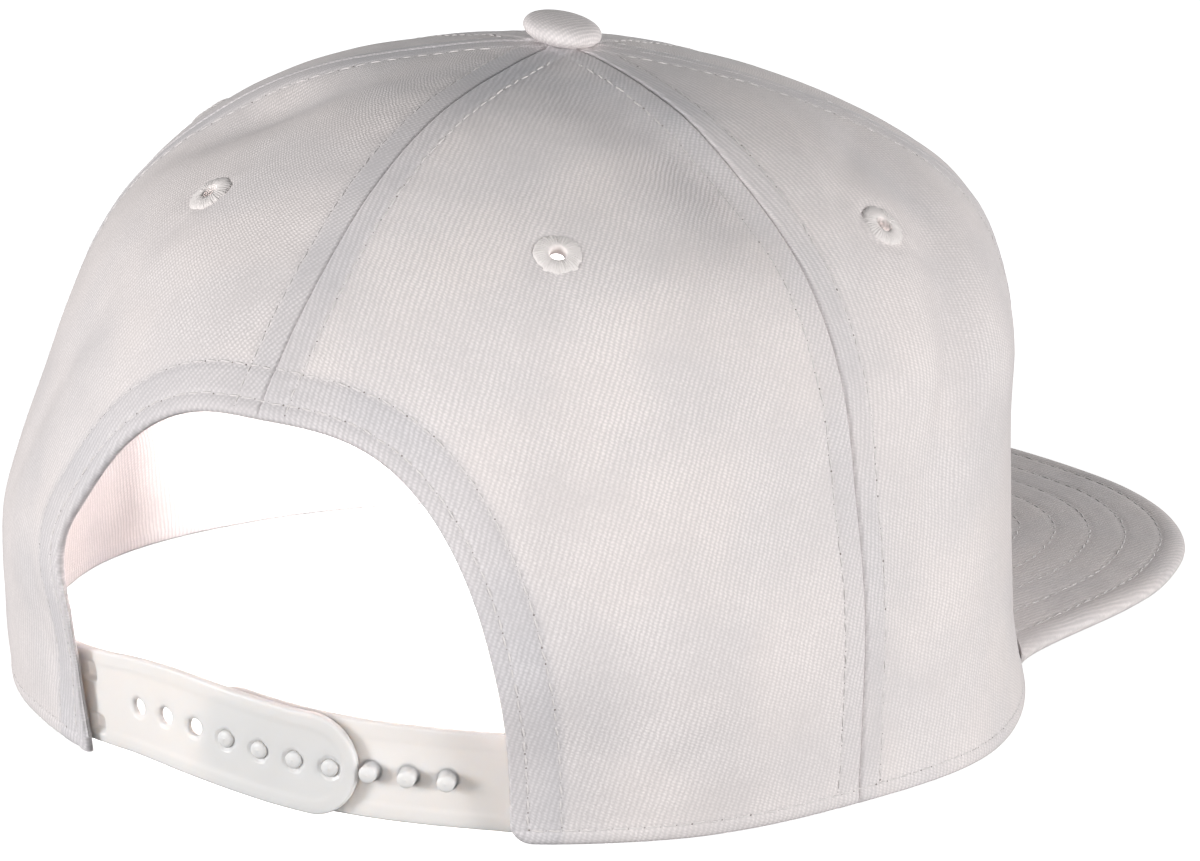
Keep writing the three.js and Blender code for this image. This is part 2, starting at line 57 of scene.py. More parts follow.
# %% Sizes of the cap
CROWN_HEIGHT = 115.0
RIM_HALF_WIDTH, RIM_BACK_REACH, RIM_FRONT_REACH = 92.0, 96.0, 97.0
CROWN_SHIFT = 2.0
CLOTH = 1.6
SIDE_SEAM, FRONT_SEAM = 68.0, 120.0
ARCH_HEIGHT = 68.5
ARCH_HALF = {"right": 28.5, "left": 25.5}
ARCH_SIDE_POWER, ARCH_TOP_POWER = 3.0, 2.2
BUTTON_DIAMETER, BUTTON_HEIGHT, BUTTON_SHANK, BUTTON_TILT = 14.6, 5.6, 5.0, 5.0
EYELET_DIAMETER, EYELET_HOLE, EYELET_PROUD = 8.4, 2.8, 0.5
PEAK_LENGTH, PEAK_FLARE, PEAK_THICKNESS = 68.5, 7.0, 3.5
PEAK_CORNER, PEAK_CORNER_STEP, PEAK_CAMBER = 118.0, 3.0, 0.3
STRAP_THICKNESS, STRAP_LIP, STRAP_TUCK = 1.7, 0.4, 8.0
HOLE_PITCH, HOLE_COUNT, HOLES_IN_USE = 7.0, 7, 4
CLEARANCE = 0.3

peak_low, peak_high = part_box("peak")
AXIS = np.array([
    (peak_low.x + peak_high.x) * 500,
    peak_low.y * 1000 + RIM_FRONT_REACH + PEAK_LENGTH,
    0.0,
])
print("the button's axis stands at", AXIS.round(3), "mm")

# %% [markdown]
# ## The crown's form
# A worn crown is no ball: the back bulges over the opening, the sides stand steep and the top is
# nearly flat. It could be sculpted, but then the seams, the hem and the stitches would have no
# common ground. So the crown is a surface with two coordinates: the direction around the head in
# degrees from the centre back, and the row, from 0 at the rim to 8 under the button. Two tables
# give its shape, and a smooth curve runs through their values.

# %% Rim and profile tables
RIM_REACH = np.array([1.0, 1.01, 1.015, 0.995, 1.02, 0.985, 0.962, 0.972, 1.0])
RISE = np.array([0, 0.13, 0.29, 0.46, 0.63, 0.78, 0.895, 0.965, 1])
PROFILE = np.array([
    # back, half way to the side, side, half way to the front, front
    [1, 1, 1, 1, 1],
    [1.04, 1.02, 0.98, 0.96, 0.99],
    [1.1, 1.025, 0.965, 0.945, 0.975],
    [1.08, 0.965, 0.945, 0.935, 0.955],
    [0.965, 0.88, 0.915, 0.925, 0.905],
    [0.79, 0.755, 0.785, 0.845, 0.8],
    [0.6, 0.53, 0.58, 0.59, 0.565],
    [0.365, 0.325, 0.32, 0.295, 0.285],
    [0, 0, 0, 0, 0],
])
TOP = len(RISE) - 1


def curve_weights(t):
    """Shares of four neighbouring values, for t from the second to the third."""
    return 0.5 * np.stack([
        -t + 2 * t**2 - t**3, 2 - 5 * t**2 + 3 * t**3, t + 4 * t**2 - 3 * t**3, -t**2 + t**3,
    ])


def along(values, at, before, after):
    padded = np.concatenate([[before], values, [after]])
    i = np.clip(np.floor(at).astype(int), 0, len(values) - 2)
    return sum(w * padded[i + k] for k, w in enumerate(curve_weights(at - i)))


def turn_from_back(around):
    return np.abs((np.asarray(around, float) + 180) % 360 - 180)


def rim_point(around):
    around = np.asarray(around, float)
    reach = along(RIM_REACH, turn_from_back(around) / 22.5, RIM_REACH[1], RIM_REACH[-2])
    t = np.radians(around)
    length = np.where(np.cos(t) > 0, RIM_BACK_REACH, RIM_FRONT_REACH)
    return np.stack([-RIM_HALF_WIDTH * reach * np.sin(t), length * reach * np.cos(t), 0 * t], -1)


def plain_crown(around, row):
    """Outside of the cloth before its dents, for arrays of directions and rows."""
    around, row = np.broadcast_arrays(np.asarray(around, float), np.asarray(row, float))
    at = turn_from_back(around) / 45
    j = np.clip(np.floor(at).astype(int), 0, 3)
    padded = np.column_stack([PROFILE[:, 1], PROFILE, PROFILE[:, -2]])
    shares = sum(w[..., None] * padded.T[j + k] for k, w in enumerate(curve_weights(at - j)))
    ends = [2 * shares[..., :1] - shares[..., 1:2], shares, -shares[..., -2:-1]]
    shares = np.concatenate(ends, -1)
    i = np.clip(np.floor(row).astype(int), 0, TOP - 1)
    pick = [np.take_along_axis(shares, (i + k)[..., None], -1)[..., 0] for k in range(4)]
    share = sum(w * pick[k] for k, w in enumerate(curve_weights(row - i)))
    rise = along(RISE, row, 2 * RISE[0] - RISE[1], RISE[-2])
    p = rim_point(around) * share[..., None]
    p[..., 0] -= CROWN_SHIFT * np.clip(rise, 0, 1) ** 6
    p[..., 2] = CROWN_HEIGHT * rise
    return p


def unit(v):
    return v / np.linalg.norm(v, axis=-1, keepdims=True)


def ease(t):
    t = np.clip(t, 0, 1)
    return t * t * (3 - 2 * t)


def bell(t):
    return np.exp(-t * t)


def facing(surface, around, row):
    """The direction that the cloth faces."""
    row = np.minimum(row, TOP - 0.01)
    sideways = surface(around + 0.6, row) - surface(around - 0.6, row)
    upward = surface(around, np.minimum(row + 0.02, TOP)) - surface(around, row - 0.02)
    return unit(np.cross(sideways, upward))


print("rim", rim_point(np.array([0, 90, 180])).round(1).tolist())

# %% [markdown]
# Soft hollows and bulges sit on that form. Each is a long bell-shaped dent with a place, a lean
# and three sizes. The first group is also in the solid model; the second holds the finer folds
# that only show in the cloth: the crease on the side panel and the pulls beside the seams.

# %% Hollows, bulges and creases
# around, row, lean in degrees, half length, half width, depth (shares of the crown's height)
DENTS = [
    (58, 6.2, -20, 0.2, 0.065, 0.02),
    (57, 3.4, 0, 0.3, 0.08, 0.008),
    (88, 4.2, 24, 0.32, 0.06, 0.02),
    (100, 4.2, 24, 0.26, 0.08, -0.01),
    (-52, 6.0, 15, 0.16, 0.07, 0.018),
    (-66, 6.1, 10, 0.14, 0.06, -0.014),
    (40, 1.4, 0, 0.16, 0.09, 0.008),
]
FOLDS = [
    (79, 5.6, 20, 0.17, 0.016, -0.0034),
    (86, 4.1, 26, 0.16, 0.018, 0.0036),
    (91, 3.6, 30, 0.14, 0.022, -0.003),
    (95, 5.9, 70, 0.1, 0.03, 0.004),
    (112, 3.0, 10, 0.2, 0.04, 0.004),
    (75, 1.8, -12, 0.16, 0.03, 0.003),
    (47, 1.0, 55, 0.09, 0.03, 0.003),
    (-40, 3.1, 20, 0.2, 0.04, 0.004),
    (-30, 1.4, -20, 0.12, 0.03, 0.003),
    (-27, 1.15, 0, 0.12, 0.15, 0.014),
    (31, 0.9, 0, 0.1, 0.06, 0.008),
    (-95, 4.5, -18, 0.24, 0.04, 0.005),
    (-135, 4.4, 12, 0.2, 0.05, 0.003),
    (140, 4.2, -14, 0.22, 0.05, 0.003),
]


def seat_of(dent):
    around, row, lean = dent[:3]
    at = plain_crown(around, row)
    out = facing(plain_crown, around, row)
    level = unit(np.cross([0, 0, 1], out))
    upright = np.cross(out, level)
    turn = math.radians(lean)
    lengthwise = upright * math.cos(turn) + level * math.sin(turn)
    return at, out, lengthwise, np.cross(lengthwise, out)


SEATS = [(seat_of(d), d) for d in DENTS]
FOLD_SEATS = [(seat_of(d), d) for d in FOLDS]


def sunk(seats, p):
    depth = np.zeros(p.shape[:-1])
    for (at, out, lengthwise, crosswise), (_, _, _, half_length, half_width, deep) in seats:
        away = (p - at) / CROWN_HEIGHT
        a = away @ crosswise / half_width
        b = away @ lengthwise / half_length
        depth += CROWN_HEIGHT * deep * np.exp(-a * a - b * b - (away @ out / 0.25) ** 2)
    return depth


def crown(around, row):
    p = plain_crown(around, row)
    out = facing(plain_crown, np.asarray(around, float), np.asarray(row, float))
    return p - out * sunk(SEATS, p)[..., None]


RISE_ROWS = np.linspace(0, TOP, 800)
RISE_AT = CROWN_HEIGHT * along(RISE, RISE_ROWS, 2 * RISE[0] - RISE[1], RISE[-2])


def row_at_height(z):
    return np.interp(z, RISE_AT, RISE_ROWS)


def row_at_radius(around, radius):
    rows = np.linspace(TOP - 1, TOP, 400)
    p = plain_crown(around, rows) - plain_crown(0.0, float(TOP))
    return float(np.interp(-radius, -np.hypot(p[:, 0], p[:, 1]), rows))


def place_of(p):
    """Direction and row of points that lie on the crown."""
    row = row_at_height(p[..., 2])
    lean = CROWN_SHIFT * np.clip(p[..., 2] / CROWN_HEIGHT, 0, 1) ** 6
    length = np.where(p[..., 1] > 0, RIM_BACK_REACH, RIM_FRONT_REACH)
    around = np.degrees(np.arctan2(-(p[..., 0] + lean) / RIM_HALF_WIDTH, p[..., 1] / length))
    return around, row


TOP_HOLE = BUTTON_SHANK / 2 + 2 * CLEARANCE
print("crown top", crown(0.0, float(TOP)).round(2), "dents", len(DENTS), "folds", len(FOLDS))

# %% [markdown]
# ## Seams, hems and what the thread pulls down
# On the real cap the panels are sewn face to face, the edges are pressed open under the cloth,
# and a row of stitches on each side holds them flat. That gives every seam the same section: a
# sharp valley, a strip as wide as the turned cloth that stands a little proud, and a fine dip
# under each row of thread. The opening and the rim have a folded hem instead, with a round edge.
# Each line is kept as a run of points, and the relief of any spot follows from its distance to
# the nearest line, so the same rule serves the cloth, its stitches and its grid.

# %% Lines of the pattern
WAYS = {"right": 1, "left": -1}
SEAM_AT = {
    "centre": 0.0, "back_right": SIDE_SEAM, "back_left": -SIDE_SEAM,
    "front_right": FRONT_SEAM, "front_left": -FRONT_SEAM, "front": 180.0,
}
SEAM_LINES = {}
for name, around in SEAM_AT.items():
    first = row_at_height(ARCH_HEIGHT) if name == "centre" else 0.0
    rows = np.linspace(first, row_at_radius(around, TOP_HOLE), 260)
    SEAM_LINES[name] = crown(around, rows)


def run_lengths(points):
    """Length of a run of points up to each of them."""
    return np.concatenate([[0], np.cumsum(np.linalg.norm(np.diff(points, axis=0), axis=1))])


def arch_edge(side, share):
    """Direction and row of the opening's edge, share from 0 at the rim to 1 at its top."""
    a = np.asarray(share) * math.pi / 2
    around = WAYS[side] * ARCH_HALF[side] * np.clip(np.cos(a), 0, 1) ** (2 / ARCH_SIDE_POWER)
    height = ARCH_HEIGHT * np.sin(a) ** (2 / ARCH_TOP_POWER)
    if side == "left":  # the strap pulls the cloth in, and the edge swells out above it
        around = around + 1.9 * ease((37 - height) / 12) - 1.1 * bell((height - 41) / 6)
    return around, row_at_height(height)


ARCH_LINES = {s: crown(*arch_edge(s, np.linspace(0, 1, 320))) for s in ("right", "left")}
ARCH_LINE = np.concatenate([ARCH_LINES["right"], ARCH_LINES["left"][::-1]])
RIM_LINE = crown(np.linspace(ARCH_HALF["right"], 360 - ARCH_HALF["left"], 900), 0.0)
print({name: run_lengths(line)[-1].round(1).tolist() for name, line in SEAM_LINES.items()},
      "mm of seam")

# %% [markdown]
# Everything that follows asks how far a spot lies from a seam, a hem or an outline. Blender could
# answer with a BVH tree, one point at a time. Here all points of a grid are asked at once: the
# nearest point of the line is found, then the two pieces of line that meet there are tried.

# %% Distance to a line
def distance_to(points, line):
    """How far each point lies from a line, and how far along the line its nearest spot is."""
    p = points.reshape(-1, 3)
    start, step = line[:-1], np.diff(line, axis=0)
    reach = run_lengths(line)
    length2 = (step**2).sum(1) + 1e-12
    near, place = np.empty(len(p)), np.empty(len(p))
    for block in range(0, len(p), 3000):
        q = p[block:block + 3000]
        k = ((q[:, None, :] - line[None]) ** 2).sum(-1).argmin(1)
        best = np.full(len(q), np.inf)
        at = np.zeros(len(q))
        for side in (k - 1, k):
            i = np.clip(side, 0, len(start) - 1)
            t = np.clip(((q - start[i]) * step[i]).sum(1) / length2[i], 0, 1)
            d = np.linalg.norm(q - start[i] - t[:, None] * step[i], axis=1)
            closer = d < best
            best = np.where(closer, d, best)
            at = np.where(closer, reach[i] + t * np.sqrt(length2[i]), at)
        near[block:block + 3000], place[block:block + 3000] = best, at
    return near.reshape(points.shape[:-1]), place.reshape(points.shape[:-1])


print("from the side seam to the centre seam at the eyelets:",
      distance_to(crown(np.array([SIDE_SEAM]), 5.3), SEAM_LINES["centre"])[0].round(1), "mm")

# %% [markdown]
# ## The relief of the cloth
# A seam's section is a sum of a few bumps of its distance: a level strip, a dip under the thread,
# a valley at the line and a low roll beside it. Hems and the rim have fewer. Slow noise keeps the
# cloth between them from lying dead flat, as a pressed cloth never does.

# %% Sections of the seams and hems
SEAM_ROW = 4.9  # a seam to each of its two rows of thread
ARCH_ROWS = (3.0, 8.6)  # the opening's edge to its rows
RIM_ROW = 2.8  # the lower edge to its row


def smooth_noise(points, size, seed):
    flat = points.reshape(-1, 3) / size + seed * 7.31
    return np.array([noise.noise(Vector(p)) for p in flat]).reshape(points.shape[:-1])


def seam_relief(d, along_seam, proud, deep):
    strip = 0.2 * (1 - ease((d - 4.0) / 2.2))
    dip = -0.16 * bell((d - SEAM_ROW) / 0.6)
    valley = -deep * bell(d / 0.3)
    roll = proud * bell((d - 0.9) / 0.7)
    pull = 0.06 * np.sin(along_seam / 1.45) * bell((d - 7.2) / 2.4)
    return strip + dip + valley + roll + pull


def hem_relief(d):
    fold = 0.26 * (1 - ease((d - 8.0) / 2.0))
    dips = sum(-0.2 * bell((d - row) / 0.55) for row in ARCH_ROWS)
    return fold + dips


def rim_relief(d):
    return 0.22 * (1 - ease((d - 2.6) / 1.5)) - 0.22 * bell((d - RIM_ROW) / 0.45)


print("rows of thread at", SEAM_ROW, ARCH_ROWS, RIM_ROW, "mm")

# %% [markdown]
# One side of each seam was pressed over the other, so it stands higher. Where cloth lies double,
# along the seams and hems, the strip is painted a little greyer and cooler than the rest as shade.
# Both are kept for each seam by name, since no two are pressed alike.

# %% Relief of any spot
# how far the two sides of a seam stand up, and how deep the valley between them is
PROUD = {
    "centre": (0.12, 0.0, 0.26), "back_right": (0.15, 0.0, 0.36), "back_left": (0.18, 0.04, 0.36),
    "front_right": (0.08, 0.08, 0.3), "front_left": (0.08, 0.08, 0.3), "front": (0.1, 0.1, 0.35),
}
# how much a seam's doubled strip thickens the cloth and darkens it with painted shade
DOUBLED_AND_SHADED = {"centre": 0.9, "back_right": 0.5, "back_left": 0.8, "front_right": 0.6,
           "front_left": 0.6, "front": 0.6}


def relief(p, around):
    """Height of the cloth over the plain crown, and 0 to 1 where cloth lies double and takes a painted
    shade.
    """
    up = 0.3 * smooth_noise(p, 26.0, 1) + 0.12 * smooth_noise(p, 9.0, 2)
    double = np.zeros(p.shape[:-1])
    for name, line in SEAM_LINES.items():
        d, place = distance_to(p, line)
        seam = SEAM_AT[name]
        beyond = (around - seam + 180) % 360 - 180
        high, low, deep = PROUD[name]
        if seam < 0:
            high, low = low, high
        up += seam_relief(d, place, np.where(beyond > 0, high, low), deep)
        double = np.maximum(double, DOUBLED_AND_SHADED[name] * (1 - ease((d - 3.6) / 2.6)))
    d, _ = distance_to(p, ARCH_LINE)
    up += hem_relief(d)
    double = np.maximum(double, 1 - ease((d - 7.6) / 3.0))
    d, _ = distance_to(p, RIM_LINE)
    up += rim_relief(d)
    double = np.maximum(double, 0.25 * (1 - ease((d - 2.6) / 1.2)))
    return up, double


print("a seam's level strip stands", seam_relief(2.5, 0.0, 0.0, 0.3).round(2), "mm proud")

# %% [markdown]
# A pale cap is never one tone. Soft patches darken the cloth to a cool grey: painted shade on the
# crown's top around the button and in the hollows of the folds low on the back and sides, partly a
# greyer tone of the cloth. A painted mask could say where. A short table does it without one, a
# soft patch a row, and the shader reads the sum as one more number of each point.

# %% Greyer and shaded patches
# painted shade on the crown's top and in the hollows of the folds, partly a greyer tone of the cloth
GREY_AND_SHADE = [
    # around, row, half width in degrees, half height in rows, strength
    (66, 1.5, 8, 1.2, 0.15), (74, 2.5, 6, 0.8, 0.2), (35, 0.9, 5, 1.3, 0.4), (52, 0.6, 9, 0.7, 0.15),
    (30, 3.2, 4, 1.6, 0.2), (20, 7.5, 75, 0.6, 0.75), (60, 6.7, 22, 0.6, 0.5),
    (-75, 6.9, 18, 0.5, 0.4), (24, 5.9, 9, 0.6, 0.2), (57, 5.6, 6, 0.9, 0.35), (-36, 3.0, 9, 2.0, 0.2),
    (88, 3.8, 5, 1.0, 0.3), (-33, 1.0, 8, 1.4, 0.35), (98, 5.3, 4, 0.7, 0.3),
]


def greyed_and_shaded(around, row):
    """0 to 1 where the cloth is darkened: painted shade, partly a greyer tone."""
    share = np.zeros(np.shape(row))
    for at, level, half_width, half_height, deep in GREY_AND_SHADE:
        beside = (around - at + 180) % 360 - 180
        share += deep * bell(np.hypot(beside / half_width, (row - level) / half_height))
    return np.clip(share, 0, 1)


print("greyer patches", len(GREY_AND_SHADE))

# %% [markdown]
# All of that comes together in one function: the crown, lifted by its relief, pulled down by the
# fine folds, and dimpled where the eyelets' thread draws the cloth in. Each eyelet has its place
# as a direction and a row, the same on both sides.

# %% The dressed crown
EYELETS = {"back": (31.5, 5.3), "side": (86.0, 5.25), "front": (150.0, 5.3)}


def dressed(around, row):
    """The finished outside of the cloth, with its facing and the mark of double cloth and painted
    shade.
    """
    p = crown(around, row)
    p[..., 2] = np.where(np.asarray(row) < 1e-6, 0, p[..., 2])
    out = facing(crown, around, row)
    up, double = relief(p, around)
    up -= sunk(FOLD_SEATS, p)
    for side in (-1, 1):
        for spot, level in EYELETS.values():
            away = np.linalg.norm(p - crown(side * spot, level), axis=-1)
            up -= 0.34 * bell((away - 4.6) / 1.0) - 0.1 * bell((away - 2.5) / 1.2)
    return p, out, up, double


print("relief at the back eyelet", dressed(np.array([31.5]), np.array([5.3]))[2].round(2), "mm")

# %% [markdown]
# ## Making a mesh
# Every piece is a grid of points with faces between them, so one helper turns arrays into a
# Blender mesh in metres, smooth-shaded, with its place in the weave as an attribute named cloth.
# The weave could use a UV map, but an attribute in millimetres keeps the yarn at one size on
# every piece.

# %% Mesh helpers
def quads(rows, cols, first=0, flip=False, wrap=False):
    """Faces of a grid of points that are numbered row by row."""
    i, j = np.meshgrid(np.arange(rows - 1), np.arange(cols if wrap else cols - 1), indexing="ij")
    nxt = (j + 1) % cols
    a, b = first + i * cols + j, first + i * cols + nxt
    c, d = first + (i + 1) * cols + nxt, first + (i + 1) * cols + j
    loop = [a, d, c, b] if flip else [a, b, c, d]
    return np.stack(loop, -1).reshape(-1, 4)


def border_of(grid):
    """Numbers of a grid's outermost points, once around."""
    return np.concatenate([grid[0, :-1], grid[:-1, -1], grid[-1, :0:-1], grid[:0:-1, 0]])


def wall(loop, below):
    """Faces between a closed run of points and the same run in the sheet below."""
    after = np.roll(loop, -1)
    return np.stack([after, loop, loop + below, after + below], -1)


def full_turn(count):
    return np.arange(count) * 2 * math.pi / count


def new_piece(name, points, faces, material, cloth=None, double=None, stands_for=(),
              grey=None):
    """A mesh in metres from points in millimetres; points that no face uses are left out."""
    used, faces = np.unique(faces, return_inverse=True)
    faces = faces.reshape(-1, 4)
    points = points[used]
    mesh = bpy.data.meshes.new(name)
    mesh.from_pydata(((points + AXIS) / 1000).tolist(), [], faces.tolist())
    mesh.validate()
    for label, values, kind in (("cloth", cloth, "FLOAT_VECTOR"), ("double", double, "FLOAT"),
                                ("grey", grey, "FLOAT")):
        if values is not None:
            layer = mesh.attributes.new(label, kind, "POINT")
            key = "vector" if kind == "FLOAT_VECTOR" else "value"
            layer.data.foreach_set(key, np.ascontiguousarray(values[used], np.float32).ravel())
    mesh.polygons.foreach_set("use_smooth", [True] * len(mesh.polygons))
    mesh.materials.append(material)
    piece = bpy.data.objects.new(name, mesh)
    bpy.context.scene.collection.objects.link(piece)
    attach(piece, "root")
    if stands_for:
        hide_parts(*stands_for)
    return piece


def faces_of(piece):
    return sum(len(p.vertices) - 2 for p in piece.data.polygons)


print("a grid of 4 by 5 points has", len(quads(4, 5)), "faces")

# %% [markdown]
# ## Shader sums
# A weave is arithmetic: cosines of a place in the cloth. Math nodes could be wired one by one,
# but a sum is easier to read as a sum, so a small class holds an output socket and builds the
# node whenever two of them are added or multiplied.

# %% A socket that can stand in a sum
class Wire:
    def __init__(self, socket):
        self.socket = socket

    @staticmethod
    def node(tree, kind, settings=None, sockets=None, output=0):
        """A node of any type, with its settings first and then its sockets."""
        made = tree.nodes.new("ShaderNode" + kind)
        for name, value in (settings or {}).items():
            if name == "stops":
                ramp = made.color_ramp.elements
                while len(ramp) < len(value):
                    ramp.new(0.5)
                for stop, (place, colour) in zip(ramp, value):
                    stop.position, stop.color = place, colour
            else:
                setattr(made, name, value)
        for key, value in (sockets or {}).items():
            if isinstance(value, Wire):
                tree.links.new(value.socket, made.inputs[key])
            else:
                made.inputs[key].default_value = value
        return Wire(made.outputs[output])

    def beside(self, output):
        return Wire(self.socket.node.outputs[output])

    def sum(self, operation, first, second=0.0):
        tree = self.socket.id_data
        return Wire.node(tree, "Math", {"operation": operation}, {0: first, 1: second})

    def __add__(self, other):
        return self.sum("ADD", self, other)

    def __sub__(self, other):
        return self.sum("SUBTRACT", self, other)

    def __rsub__(self, other):
        return self.sum("SUBTRACT", other, self)

    def __mul__(self, other):
        return self.sum("MULTIPLY", self, other)

    __radd__, __rmul__ = __add__, __mul__

    def cosine(self):
        return self.sum("COSINE", self)


def finish_named(name, roughness, **constants):
    """A material with one Principled shader, and its node tree and shader."""
    material = bpy.data.materials.new(name)
    material.use_nodes = True
    shader = material.node_tree.nodes["Principled BSDF"]
    shader.inputs["Roughness"].default_value = roughness
    for key, value in constants.items():
        shader.inputs[key.replace("_", " ")].default_value = value
    return material, material.node_tree, shader


def mixed(tree, share, first, second, blend="MIX"):
    """Two colours mixed by a share that may be a number or a wire."""
    return Wire.node(tree, "Mix", {"data_type": "RGBA", "blend_type": blend},
                     {0: share, 6: first, 7: second}, 2)


def noisy(tree, place, scale, detail=2.0, rough=0.5):
    """Noise between 0 and 1, about a half."""
    sockets = {"Vector": place, "Scale": scale, "Detail": detail, "Roughness": rough}
    return Wire.node(tree, "TexNoise", {}, sockets, "Fac")


print("a wire can be asked for", [word for word in vars(Wire) if not word.startswith("_")])

# %% [markdown]
# ## The twill
# The cloth is an off-white twill: steep ribs nearly a millimetre apart, crossed by rows of short
# floats that lie about half as far apart. A photo of cloth would carry its light with it, so the weave
# is worked out: one cosine for the ribs, one for the rows, slow noises that let both wander and
# fade where the cloth is worn, and a fine one for the fuzz. The same height feeds the bump and
# tints the yarn, darker in the hollows between yarns as painted shade.

# %% Twill material
RIB_PITCH, ROW_PITCH, RIB_LEAN = 0.93, 0.56, math.radians(75)


def twill(name, light, dark, strength=0.6):
    material, tree, shader = finish_named(
        name, 0.9, Specular_IOR_Level=0.3, Sheen_Weight=0.1, Sheen_Roughness=0.45)
    cloth = Wire.node(tree, "Attribute", {"attribute_name": "cloth"}, output="Vector")
    across = Wire.node(tree, "SeparateXYZ", {}, {0: cloth})
    upward = across.beside(1)
    wander = (noisy(tree, cloth, 0.11) - 0.5) * 1.2 + (noisy(tree, cloth, 0.9) - 0.5) * 0.6
    sway = (noisy(tree, cloth, 0.3) - 0.5) * 0.7 + (noisy(tree, cloth, 1.4) - 0.5) * 0.5
    rib = across * math.sin(RIB_LEAN) - upward * math.cos(RIB_LEAN) + wander
    row = upward + across * 0.16 + sway
    ribs = (rib * (2 * math.pi / RIB_PITCH)).cosine() * 0.5 + 0.5
    rows = (row * (2 * math.pi / ROW_PITCH) + rib * (math.pi / RIB_PITCH)).cosine() * 0.5 + 0.5
    fuzz = noisy(tree, cloth, 2.2, 3.0, 0.65)
    worn = noisy(tree, cloth, 0.07, 2.0) * 1.5 + noisy(tree, cloth, 0.5, 2.0) * 0.8 - 0.35
    height = (ribs * 0.3 + ribs * rows * 0.4 + rows * 0.12) * worn + fuzz * 0.6
    # painted shade: the yarn tone darkens where the weave lies low
    tone = Wire.node(tree, "MapRange", {}, {"Value": height, 1: 0.2, 2: 1.0, 3: 0.0, 4: 1.0})
    yarn = mixed(tree, tone, dark, light)
    blush = noisy(tree, cloth, 0.045, 1.0)
    tint = Wire.node(tree, "MapRange", {}, {"Value": blush, 1: 0.42, 2: 0.62, 3: 0.0, 4: 1.0})
    patched = mixed(tree, tint, yarn, (0.955, 0.965, 0.975, 1), "MULTIPLY")
    # painted shade along the seams and hems: a cool grey where cloth lies double
    double = Wire.node(tree, "Attribute", {"attribute_name": "double"}, output="Fac")
    seam = mixed(tree, double * 0.9, patched, (0.84, 0.86, 0.885, 1), "MULTIPLY")
    # painted shade from the patch table: a cool grey multiplied into the cloth, partly a greyer tone
    grey = Wire.node(tree, "Attribute", {"attribute_name": "grey"}, output="Fac")
    base = mixed(tree, grey * (noisy(tree, cloth, 0.12, 2.0) * 1.2 + 0.4), seam,
                 (0.76, 0.785, 0.812, 1), "MULTIPLY")
    tree.links.new(base.socket, shader.inputs["Base Color"])
    hollows = height * (1 - double * 0.45)
    bump = Wire.node(tree, "Bump", {}, {
        "Strength": strength, "Distance": 0.00016, "Height": hollows}, "Normal")
    tree.links.new(bump.socket, shader.inputs["Normal"])
    return material


CAP_CLOTH = twill("off_white_twill", (0.9, 0.832, 0.816, 1), (0.66, 0.611, 0.6, 1))
print("twill nodes", len(CAP_CLOTH.node_tree.nodes))

# %% [markdown]
# The weave needs to know where each point lay in the flat cloth. A panel is cut with its middle
# line along the yarn, so the place across is the arc from that line at the same level, and the
# place upward is the length up the middle line.

# %% Where a point lies in its flat panel
LEVELS = np.linspace(0, TOP, 161)
DIRECTIONS = np.arange(-180, 181.0, 2.0)
_grid = crown(DIRECTIONS[None, :], LEVELS[:, None])
ARC = np.concatenate([np.zeros((161, 1)), np.cumsum(
    np.linalg.norm(np.diff(_grid, axis=1), axis=-1), axis=1)], axis=1)


def arc_at(around, row):
    i = np.clip(row / TOP * 160, 0, 159.999)
    j = np.clip((around + 180) / 2, 0, 179.999)
    i0, j0 = i.astype(int), j.astype(int)
    u, v = i - i0, j - j0
    return ((1 - u) * (1 - v) * ARC[i0, j0] + (1 - u) * v * ARC[i0, j0 + 1]
            + u * (1 - v) * ARC[i0 + 1, j0] + u * v * ARC[i0 + 1, j0 + 1])


def flat_place(around, row, middle):
    around = (around + 180) % 360 - 180 if abs(middle) < 140 else around
    across = arc_at(around, row) - arc_at(np.full_like(around, middle), row)
    spine = crown(middle, LEVELS)
    upward = np.interp(row, LEVELS, run_lengths(spine))
    return np.stack([across, upward, np.full_like(across, middle * 3.1)], -1)


print("half the rim is", ARC[0, 90].round(1), "mm long")

# %% [markdown]
# ## The panels
# Each panel is a closed sheet, 1.6 mm thick, on a grid that grows finer toward its edges, where
# the seams and hems need it. The side and front panels run from the rim to the button in plain
# rows. The back panels would pinch where the opening's arch meets the centre seam, so they are
# stretched over four edges instead: rim, arch, centre seam and side seam. Near an eyelet the
# grid is pushed open into a round hole.

# %% Grids that grow finer toward the edges
PANEL_HEIGHT, PANEL_WIDTH = 148, 84  # rough lengths, which only set how many cells fit
ARCH_RUN, RIM_RUN = 118, 72
BACK_CELL = 0.9


def graded(length, large=0.95, small=0.15, growth=0.055):
    """Shares from 0 to 1 whose steps grow from small, at both ends, to large, in millimetres."""
    x = np.linspace(0, length, 3001)
    step = np.minimum(large, small + growth * np.minimum(x, length - x))
    count = np.concatenate([[0], np.cumsum(0.5 * (1 / step[1:] + 1 / step[:-1]) * np.diff(x))])
    n = int(math.ceil(count[-1]))
    return np.interp(np.linspace(0, count[-1], n + 1), count, x) / length


def polar_grid(seam_a, seam_b, large):
    """Directions and rows between two seams, from the rim to the button."""
    rows, cols = graded(PANEL_HEIGHT, large), graded(PANEL_WIDTH, large)
    top_a, top_b = row_at_radius(seam_a, TOP_HOLE), row_at_radius(seam_b, TOP_HOLE)
    spine = crown((seam_a + seam_b) / 2, LEVELS)
    length = run_lengths(spine)
    level = np.interp(rows * np.interp(min(top_a, top_b), LEVELS, length), length, LEVELS)
    level = level / level[-1]
    around = seam_a + (seam_b - seam_a) * cols[None, :]
    row = level[:, None] * (top_a + (top_b - top_a) * cols[None, :])
    return np.broadcast_to(around, row.shape).copy(), row


